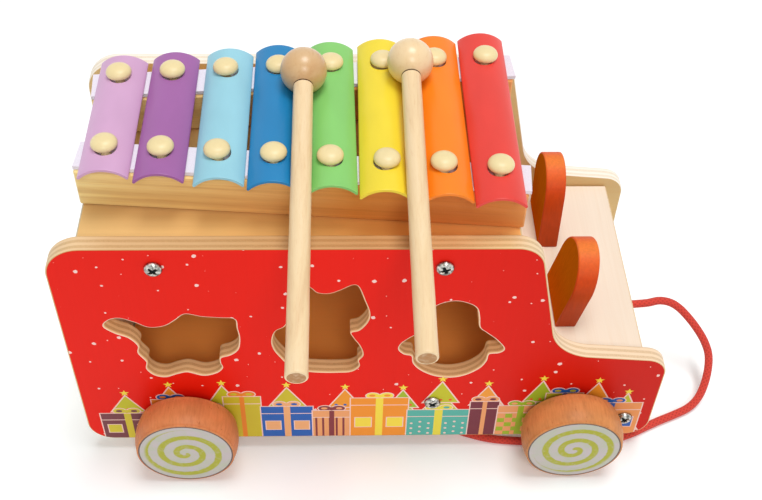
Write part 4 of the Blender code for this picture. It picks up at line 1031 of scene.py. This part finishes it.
def build_ears():
    """Two painted plates on the bonnet, each leaning its own way."""
    # the edges' paint and the faces' darker copy of it carry painted shade and light
    paints = [
        ear_paint("satin_orange_paint", colours().ear, 0.2, EAR_RIM_LIGHT_TONES),
        ear_paint("deep_orange_paint", colours().shaded_ear_face, 0.0, EAR_FACE_SHADE_TONES),
    ]
    half = EAR_THICKNESS / 2
    for side, (rear, foot, lobe, lean) in EARS.items():
        node = f"bonnet_ear_{side}"
        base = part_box(node)[0].z
        middle = TAIL + rear + half

        def stand(points, foot=foot, lean=lean, base=base, middle=middle):
            x = middle - points[:, 1] + points[:, 2] * math.tan(lean)
            return np.stack([x, MIDDLE_Y + foot + points[:, 0], base + points[:, 2]], -1)

        outline = ear_outline(lobe - foot)
        made = plate(f"bonnet_plate_{side}", outline, [], -half, half, PANEL_RIM, 0, (1, 0, 1), stand)
        dress(made, paints, "truck", [node])


def build_rails():
    """Hardwood rails with felt on them; both keep their CAD shape."""
    cloth = felt()
    for side, way in (("right", 1), ("left", -1)):
        # the rails' ramp is painted shade
        wood = sawn_wood(f"planed_hardwood_{side}", colours().rail, (90 * MM, 2.2 * MM, 2.2 * MM),
                         (0, 0, way * RAIL_ANGLE), tones=RAIL_SHADE_TONES)
        repaint(f"xylophone_rail_{side}", wood)
        repaint(f"felt_strip_{side}", cloth)


def build_bar(node, material, pegs, slip):
    """An arched bar: its section is a ring sector with rounded edges, carried along Y, with a hole for each peg.

    The section's middle line is R (sin a, cos a); the wall stands half the thickness to each side of it, with a
    half round at each edge. slip is the bar's row of BAR_SLIPS.
    """
    low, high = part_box(node)
    spots = [middle_of(peg) for peg in pegs]
    *asides, nearer = (MM * length for length in slip)
    half = BAR_THICKNESS / 2
    radius = BAR_ARCH_RADIUS - half
    reach = math.asin((high.x - low.x) / 2 / BAR_ARCH_RADIUS) - half / BAR_ARCH_RADIUS * 0.55
    # the half rounds at the edges reach a little past the arch and lie just inside its faces
    angle = np.linspace(-reach, reach, 41)
    arch = np.stack([np.sin(angle), np.cos(angle)], -1)
    swing = np.linspace(0, math.pi, 7)[1:-1, None]
    edges = []
    for end, way in ((reach, 1), (-reach, -1)):
        out = np.array([math.sin(end), math.cos(end)])
        along = way * np.array([math.cos(end), -math.sin(end)])
        edges.append(radius * out + half * 0.98 * (way * np.cos(swing) * out + np.sin(swing) * along))
    section = np.concatenate([(radius + half) * arch, edges[0], (radius - half) * arch[::-1], edges[1]])
    cores = [np.tile(edge.mean(0), (len(edge), 1)) for edge in edges]
    core = np.concatenate([radius * arch, cores[0], radius * arch[::-1], cores[1]])
    steps = np.array([0, 0.3, 1.0]) * BAR_EASE
    y = np.concatenate([low.y + steps, np.linspace(low.y + 3 * MM, high.y - 3 * MM, 40), high.y - steps[::-1]])
    # the very ends are drawn in a little, so that no edge is knife sharp
    shrink = np.ones(len(y))
    shrink[[0, -1]] = 0.82
    shrink[[1, -2]] = 0.95
    x, z = (core + (section - core) * shrink[:, None, None]).transpose(2, 0, 1)
    aside = asides[0] + (asides[1] - asides[0]) * (y - spots[0][1]) / (spots[1][1] - spots[0][1])
    x = (low.x + high.x) / 2 + x + aside[:, None]
    points = np.stack([x, np.broadcast_to(y[:, None] - nearer, x.shape), high.z - BAR_ARCH_RADIUS + z], -1)
    made = lofted(f"enamelled_{node}", points)
    for (x, y, _), aside in zip(spots, asides):
        hole = turned("hole", [(1.0, -8 * MM), (1.0, 4 * MM)], (0, 0, high.z), (0, 0, 1), 48)
        oval = Matrix.Diagonal((BAR_HOLE_WIDTH / 2, BAR_HOLE_LENGTH / 2, 1, 1))
        hole.data.transform(Matrix.Translation((x + aside, y - nearer, 0)) @ oval)
        cut = made.modifiers.new("hole", "BOOLEAN")
        cut.object = hole
        cut.solver = "EXACT"
        graph = bpy.context.evaluated_depsgraph_get()
        mesh = bpy.data.meshes.new_from_object(made.evaluated_get(graph))
        made.modifiers.clear()
        made.data = mesh
        bpy.data.objects.remove(hole)
    made.data.shade_smooth()
    made.data.set_sharp_from_angle(angle=math.radians(35))
    dress(made, [material], "truck", [node])


def build_bars():
    """Eight powder-coated steel bars."""
    for number, node in enumerate(BARS):
        colour = node.split("_")[-1]
        coat = enamel(f"powder_coat_{colour}", getattr(colours(), colour))
        build_bar(node, coat, [f"bar_peg_{number + 1}_{side}" for side in SIDES], BAR_SLIPS[number])


def build_pegs():
    """Sixteen turned pegs: a low dome on a shank.

    The dome is a superellipse quarter, (r / R)^2.3 + (h / H)^2 = 1, over a short straight rim.
    """
    wood = sawn_wood("lacquered_turned_maple", colours().turned, (1.2 * MM, 1.2 * MM, 9 * MM), contrast=0.12,
                     roughness=0.38, coat=0.2)
    rim = 0.7 * MM
    rise = np.linspace(0, 1, 14)[:-1]
    dome = np.stack([PEG_HEAD_RADIUS * (1 - rise**2) ** (1 / 2.3), rim + (PEG_HEAD_HEIGHT - rim) * rise], -1)
    under = [(PEG_RADIUS, -0.02 * MM), (PEG_HEAD_RADIUS - 0.5 * MM, 0.0), (PEG_HEAD_RADIUS - 0.1 * MM, 0.2 * MM)]
    for number in range(1, 9):
        for side in SIDES:
            node = f"bar_peg_{number}_{side}"
            low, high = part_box(node)
            head = high.z - PEG_HEAD_HEIGHT
            profile = [(PEG_RADIUS, low.z - head), *under, *dome, (0.25 * MM, PEG_HEAD_HEIGHT)]
            spot = (*middle_of(node)[:2], head)
            made = turned(f"turned_peg_{number}_{side}", profile, spot, (0, 0, 1), 48)
            made.data.set_sharp_from_angle(angle=math.radians(50))
            dress(made, [wood], "truck", [node])


def wheel_profile(width):
    """(radius, height) rows of a wheel from its inner bore to its outer face: a barrel with soft shoulders.

    The tread bulges from the inner shoulder to the outer face: a quarter sine up, then a longer fall.
    """
    bore = AXLE_RADIUS + 0.15 * MM
    chamfer = 0.4 * MM
    shoulder = 1.8 * MM
    widest, falling = 0.42, 0.55  # shares of the tread's width
    start = [(PINHOLE, AXLE_BITE + SEAT), (bore, AXLE_BITE + SEAT), (bore, chamfer), (bore + chamfer, 0)]
    inner = arc((WHEEL_INNER_RADIUS - shoulder, shoulder), shoulder, -90, -8, 7)
    share = np.linspace(0, 1, 22)
    rise = (WHEEL_RADIUS - WHEEL_INNER_RADIUS) * np.sin(np.minimum(share / widest, 1) * np.pi / 2)
    fall = (WHEEL_RADIUS - WHEEL_FACE_RADIUS - 0.5 * MM) * np.clip((share - falling) / (1 - falling), 0, 1) ** 2
    tread = np.stack([WHEEL_INNER_RADIUS + rise - fall, 2.0 * MM + (width - 3.0 * MM) * share], -1)
    lip = arc((WHEEL_FACE_RADIUS - 0.1 * MM, width - 0.75 * MM), 0.7 * MM, 10, 90, 5)
    face = [(WHEEL_FACE_RADIUS - 0.35 * MM, width - 0.02 * MM), (PINHOLE, width - 0.02 * MM)]
    return np.concatenate([start, inner, tread, lip, face])


def build_wheels():
    """Four turned wheels with printed faces on two dowel axles."""
    dowel = sawn_wood("dowel_beech", colours().turned, (1.2 * MM, 40 * MM, 1.2 * MM))
    for end, tint, start in (("rear", colours().rear_wheel, 0.54), ("front", colours().front_wheel, 0.86)):
        looks = [wheel_wood(f"tinted_turned_beech_{end}", tint), wheel_print(f"printed_wheel_face_{end}", start)]
        for side, (_, _, way) in SIDES.items():
            node = f"wheel_{end}_{side}"
            low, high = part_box(node)
            x, _, z = middle_of(node)
            profile = wheel_profile(high.y - low.y)
            slots = [0] * (len(profile) - 2) + [1]
            spot = (x, high.y if way < 0 else low.y, z)
            made = turned(f"turned_{node}", profile, spot, (0, way, 0), 128, True, slots, (0, 1))
            made.data.set_sharp_from_angle(angle=math.radians(40))
            dress(made, looks, f"{end}_wheels", [node])
        repaint(f"axle_{end}", dowel)


def mallet_profile():
    """(radius, height) rows of a mallet from its ball to its sawn end, and the material number of each band."""
    radius = MALLET_STICK_RADIUS
    neck = math.degrees(math.asin(radius / MALLET_BALL_RADIUS))
    sphere = arc((0, 0), MALLET_BALL_RADIUS, -89, 90 - neck, 40)
    foot = sphere[-1, 1]
    # a slim ring of shadow where the stick goes into the ball
    joint = [(radius + 0.2 * MM, foot - 0.8 * MM), (radius - 0.7 * MM, foot - 0.8 * MM),
             (radius - 0.7 * MM, foot + 0.1 * MM), (radius, foot + 0.7 * MM)]
    run = np.linspace(foot + 4 * MM, MALLET_REACH - 2 * MM, 30)
    # a hand-turned stick is never quite even
    stick = np.stack([radius * (1 - 0.012 * np.sin(run / (9 * MM)) ** 2), run], -1)
    ease = 0.7 * MM
    tip = arc((radius - ease, MALLET_REACH - ease), ease, 5, 80, 5)
    last = [(radius - 0.9 * MM, MALLET_REACH), (PINHOLE, MALLET_REACH)]
    profile = np.concatenate([sphere, joint, stick, tip, last])
    slots = np.zeros(len(profile) - 1, int)
    slots[: len(sphere) - 1] = 2
    slots[len(sphere) - 1 : len(sphere) + 3] = 3
    slots[-1] = 1
    return profile, slots


def build_mallets():
    """Two mallets: a ball, a slim neck ring where the stick goes in, and a round stick with a sawn end."""
    looks = [
        sawn_wood("lacquered_beech_stick", colours().stick, (1.4 * MM, 34 * MM, 1.4 * MM), contrast=0.6,
                  roughness=0.4, coat=0.15),
        sawn_wood("sawn_end_grain", linear("BC8E62"), (0.9 * MM, 0.9 * MM, 0.9 * MM), roughness=0.75),
    ]
    # painted shade for the neck ring where the stick goes into the ball
    gap = sawn_wood("glue_line_shadow", linear("6E3F1C"), (0.9 * MM, 0.9 * MM, 0.9 * MM), roughness=0.9)
    profile, slots = mallet_profile()
    for end, tone, contrast in (
        ("rear", tinted(colours().ball, linear("B5762F"), 0.45), 0.8), ("front", colours().ball, 0.45),
    ):
        node = f"mallet_{end}"
        low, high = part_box(node)
        # the ball's middle is a ball's radius in from the box's top and far side
        ball = ((low.x + high.x) / 2, high.y - MALLET_BALL_RADIUS, high.z - MALLET_BALL_RADIUS)
        slope = math.asin((ball[2] - low.z - MALLET_STICK_RADIUS) / MALLET_REACH)
        axis = (0, -math.cos(slope), -math.sin(slope))
        made = turned(f"turned_{node}", profile, ball, axis, 64, slots=slots, end_slots=(2, 1))
        made.data.set_sharp_from_angle(angle=math.radians(40))
        head = sawn_wood(f"lacquered_turned_ball_{end}", tone, (5 * MM, 16 * MM, 5 * MM), contrast=contrast,
                         roughness=0.3, coat=0.4)
        dress(made, [*looks, head, gap], f"{end}_mallet", [node])


def coil_line(points_a_turn):
    """The coil's middle line: a turn spiralling in, a climb of one layer, a turn out, then straight out."""
    pitch = 2 * CORD_RADIUS + COIL_GAP
    outer = COIL_RADIUS + pitch * COIL_TURNS / 2
    centre = np.array([*COIL_START, CORD_RADIUS]) + (-2 * CORD_RADIUS, outer, 0)
    turn = np.arange(2 * COIL_TURNS * points_a_turn + 1) / points_a_turn
    radius = outer - pitch * np.minimum(turn, 2 * COIL_TURNS - turn)
    climb = np.clip((turn - COIL_TURNS) * 2 + 0.5, 0, 1)
    climb = climb * climb * (3 - 2 * climb)
    angle = -np.pi / 2 - 2 * np.pi * turn
    loops = centre + np.stack([radius * np.cos(angle), radius * np.sin(angle), pitch * climb], -1)
    return np.concatenate([loops, loops[-1] - np.linspace(0, 1, 9)[1:, None] * (COIL_TAIL, 0, 0)])


def cord_line():
    """The cord's middle line in the truck's own frame, from the front board to its end knot."""
    start = np.array([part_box("front_board")[1].x + SEAT, CORD_OFFSET, CORD_HEIGHT])
    finish = np.array([*COIL_START, CORD_RADIUS])
    square = (2 * CORD_RADIUS, 0, 0)
    route = np.concatenate([[start, start + square], CORD_ROUTE, [finish + square, finish]])
    run = evenly(catmull(route, 20, closed=False), 150)
    return np.concatenate([run[:-1], coil_line(48)]) + (0, MIDDLE_Y, 0)


def swept(name, line, radius, repeat, sides=20):
    """A round tube: point(s, a) = line(s) + r (cos a N + sin a B), N level and square to the line, B upwards."""
    ahead = unit(np.gradient(line, axis=0))
    level = unit(np.cross(ahead, [0, 0, 1.0]))
    points = line[:, None] + radius * circle(sides, level, np.cross(level, ahead))
    return lofted(name, points, wrapped_uv(run_along(line) / repeat, sides))


def knot(name, centre, size, radius, repeat, sides=16):
    """A tight overhand knot: a trefoil line, (sin t + 2 sin 2t, cos t - 2 cos 2t, -sin 3t) scaled, as a tube."""
    t = np.linspace(0, 2 * np.pi, 121)[:-1]
    line = np.stack([-1.2 * np.sin(3 * t), np.sin(t) + 2 * np.sin(2 * t), np.cos(t) - 2 * np.cos(2 * t)], -1)
    line = line * (size - radius) / 3
    ahead = unit(np.roll(line, -1, 0) - np.roll(line, 1, 0))
    out = unit(line)
    out = unit(out - (out * ahead).sum(1)[:, None] * ahead)
    points = line[:, None] + radius * circle(sides, out, np.cross(ahead, out)) + np.asarray(centre)
    faces, r, c = grid_faces(*points.shape[:2], wrap_rows=True)
    uv = wrapped_uv(np.linspace(0, 30 * radius / repeat, len(t) + 1), sides)
    return add_mesh(name, points.reshape(-1, 3), faces.tolist(), uv[r, c])


def build_cord():
    """The braided pull cord with a knot at each end; what the truck hides of it is coiled beneath."""
    radius = sizes().cord_diameter / 2
    repeat = sizes().braid_pitch
    weave = braid()
    line = cord_line()
    made = swept("braided_cord", line, radius, repeat)
    dress(made, [weave], "truck", ["pull_cord_run", "pull_cord_coil"])

    low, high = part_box("cord_end_knot")
    size = (high.z - low.z) / 2
    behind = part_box("cord_stop_knot")[1].x
    knots = []
    # each knot's node, its end of the cord and its X, then its straight tail's name and where that runs in X
    for node, spot, x, tail, start, stop in (
        ("cord_end_knot", line[-1], line[-1][0] - size * 0.62, "cord_end_tail", line[-1][0] - size, low.x + SEAT),
        ("cord_stop_knot", line[0], behind - PLY - SEAT - size * 0.8, "cord_through_board", behind,
         behind - PLY - size * 0.7),
    ):
        tied = knot(f"{node}_tied", (x, *spot[1:]), size, radius * 0.98, repeat)
        stub = swept(tail, np.linspace([start, *spot[1:]], [stop, *spot[1:]], 12), radius, repeat)
        dress(tied, [weave], "truck", [node])
        dress(stub, [weave], "truck")
        knots += [tied, stub]


# ---- Stage


def aim(thing, spot, right, up, ahead):
    """Stand a camera or a lamp at a spot, looking ahead."""
    rows = np.stack([right, up, -ahead, spot], -1)
    thing.matrix_world = Matrix([*rows.tolist(), (0, 0, 0, 1)])


def build_camera():
    """The photograph's camera: level right, forward and up vectors turned by yaw, pitch and roll."""
    yaw, pitch, roll = CAMERA_YAW, CAMERA_PITCH, CAMERA_ROLL
    ahead = np.array([-math.sin(yaw) * math.cos(pitch), math.cos(yaw) * math.cos(pitch), -math.sin(pitch)])
    right = np.array([math.cos(yaw), math.sin(yaw), 0.0])
    up = np.cross(right, ahead)
    right, up = math.cos(roll) * right + math.sin(roll) * up, -math.sin(roll) * right + math.cos(roll) * up
    data = bpy.data.cameras.new("camera")
    data.sensor_width = 36
    data.lens = data.sensor_width * CAMERA_PIXELS / PHOTO_WIDTH
    made = linked("camera", data)
    aim(made, np.array(CAMERA_SPOT) + (0, MIDDLE_Y, 0), right, up, ahead)
    bpy.context.scene.camera = made


def add_lamp(name, strength, spot, spread):
    """A sun that shines from a spot towards the origin, its disc spread degrees wide."""
    data = bpy.data.lights.new(name, "SUN")
    data.energy = strength
    data.angle = math.radians(spread)
    ahead = unit(-np.array(spot))
    right = unit(np.cross(ahead, [0, 0, 1.0]))
    aim(linked(name, data), spot, right, np.cross(right, ahead), ahead)


def build_stage():
    """A pale sweep of floor, a soft key overhead, a fill beside the camera and an even white surround."""
    mesh = bpy.data.meshes.new("floor")
    wide = 6.0
    mesh.from_pydata([(-wide, -wide, 0), (wide, -wide, 0), (wide, wide, 0), (-wide, wide, 0)], [], [(0, 1, 2, 3)])
    floor = linked("floor", mesh)
    # a hair under the wheels, so that they don't share a plane
    floor.location.z = -0.05 * MM
    # a little glow stands for the paper's overexposure: only the close shadows are left on it
    paper = new_material("white_background_paper", Roughness=0.9, Base_Color=(0.95, 0.985, 0.99, 1),
                         Specular_IOR_Level=0.1, Emission_Color=WHITE, Emission_Strength=0.10)
    mesh.materials.append(paper[0])

    world = bpy.data.worlds.new("surround")
    bpy.context.scene.world = world
    world.use_nodes = True
    tree = world.node_tree
    seen = add(tree, "LightPath").outputs
    direct = add(tree, "Math", seen["Is Camera Ray"], seen["Is Transmission Ray"], operation="MAXIMUM")
    direct = add(tree, "Math", direct, seen["Is Glossy Ray"], operation="MAXIMUM")
    strength = add(tree, "Math", direct, SEEN_WHITE - SURROUND, SURROUND, operation="MULTIPLY_ADD")
    ground = tree.nodes["Background"]
    ground.inputs["Color"].default_value = WHITE
    feed(tree, strength, ground.inputs["Strength"])

    add_lamp("key", 1.66, (0.12, 0.07, 1.0), 28)
    add_lamp("fill", 0.82, (0.12, -0.70, 0.74), 20)
    bpy.context.scene.view_settings.view_transform = "Standard"


# ---- Add-on


class TRUCK_OT_camera(Operator):
    """Sets the photograph's camera"""

    bl_idname = "truck.camera"
    bl_label = "Camera"

    def execute(self, context):
        build_camera()
        return {"FINISHED"}


class TRUCK_OT_cord(Operator):
    """Lays the braided pull cord and ties its knots"""

    bl_idname = "truck.cord"
    bl_label = "Pull cord"

    def execute(self, context):
        build_cord()
        return {"FINISHED"}


class TRUCK_OT_panels(Operator):
    """Makes the two printed side panels"""

    bl_idname = "truck.panels"
    bl_label = "Side panels"

    def execute(self, context):
        build_panels()
        return {"FINISHED"}


class TRUCK_OT_boards(Operator):
    """Finishes the boards between the panels"""

    bl_idname = "truck.boards"
    bl_label = "Boards"

    def execute(self, context):
        build_boards()
        return {"FINISHED"}


class TRUCK_OT_screws(Operator):
    """Makes the ten cross-head screws"""

    bl_idname = "truck.screws"
    bl_label = "Screws"

    def execute(self, context):
        build_screws()
        return {"FINISHED"}


class TRUCK_OT_ears(Operator):
    """Makes the two painted plates on the bonnet"""

    bl_idname = "truck.ears"
    bl_label = "Bonnet plates"

    def execute(self, context):
        build_ears()
        return {"FINISHED"}


class TRUCK_OT_rails(Operator):
    """Finishes the xylophone's rails and felt"""

    bl_idname = "truck.rails"
    bl_label = "Rails and felt"

    def execute(self, context):
        build_rails()
        return {"FINISHED"}


class TRUCK_OT_bars(Operator):
    """Makes the eight arched steel bars"""

    bl_idname = "truck.bars"
    bl_label = "Bars"

    def execute(self, context):
        build_bars()
        return {"FINISHED"}


class TRUCK_OT_pegs(Operator):
    """Turns the sixteen pegs"""

    bl_idname = "truck.pegs"
    bl_label = "Pegs"

    def execute(self, context):
        build_pegs()
        return {"FINISHED"}


class TRUCK_OT_wheels(Operator):
    """Turns the wheels and finishes the axles"""

    bl_idname = "truck.wheels"
    bl_label = "Wheels"

    def execute(self, context):
        build_wheels()
        return {"FINISHED"}


class TRUCK_OT_mallets(Operator):
    """Turns the two mallets"""

    bl_idname = "truck.mallets"
    bl_label = "Mallets"

    def execute(self, context):
        build_mallets()
        return {"FINISHED"}


class TRUCK_OT_stage(Operator):
    """Lays the floor and sets the lights"""

    bl_idname = "truck.stage"
    bl_label = "Stage"

    def execute(self, context):
        build_stage()
        return {"FINISHED"}


OPERATORS = (
    TRUCK_OT_camera, TRUCK_OT_cord, TRUCK_OT_panels, TRUCK_OT_boards, TRUCK_OT_screws, TRUCK_OT_ears,
    TRUCK_OT_rails, TRUCK_OT_bars, TRUCK_OT_pegs, TRUCK_OT_wheels, TRUCK_OT_mallets, TRUCK_OT_stage,
)


class TRUCK_PT_sidebar(Panel):
    """Lists the truck's pieces in the order in which they are made"""

    bl_idname = "TRUCK_PT_sidebar"
    bl_label = "Pull truck"
    bl_space_type = "VIEW_3D"
    bl_region_type = "UI"
    bl_category = "Pull truck"

    def draw(self, context):
        for group in (context.scene.truck_sizes, context.scene.truck_colours):
            box = self.layout.box()
            for key in group.__annotations__:
                box.prop(group, key)
        for operator in OPERATORS:
            self.layout.operator(operator.bl_idname)


CLASSES = (TruckSizes, TruckColours, *OPERATORS, TRUCK_PT_sidebar)


def register():
    for cls in CLASSES:
        bpy.utils.register_class(cls)
    bpy.types.Scene.truck_sizes = PointerProperty(type=TruckSizes)
    bpy.types.Scene.truck_colours = PointerProperty(type=TruckColours)


def unregister():
    del bpy.types.Scene.truck_colours
    del bpy.types.Scene.truck_sizes
    for cls in reversed(CLASSES):
        bpy.utils.unregister_class(cls)


def main():
    register()
    for operator in OPERATORS:
        group, name = operator.bl_idname.split(".")
        getattr(getattr(bpy.ops, group), name)()


if __name__ == "__main__":
    main()
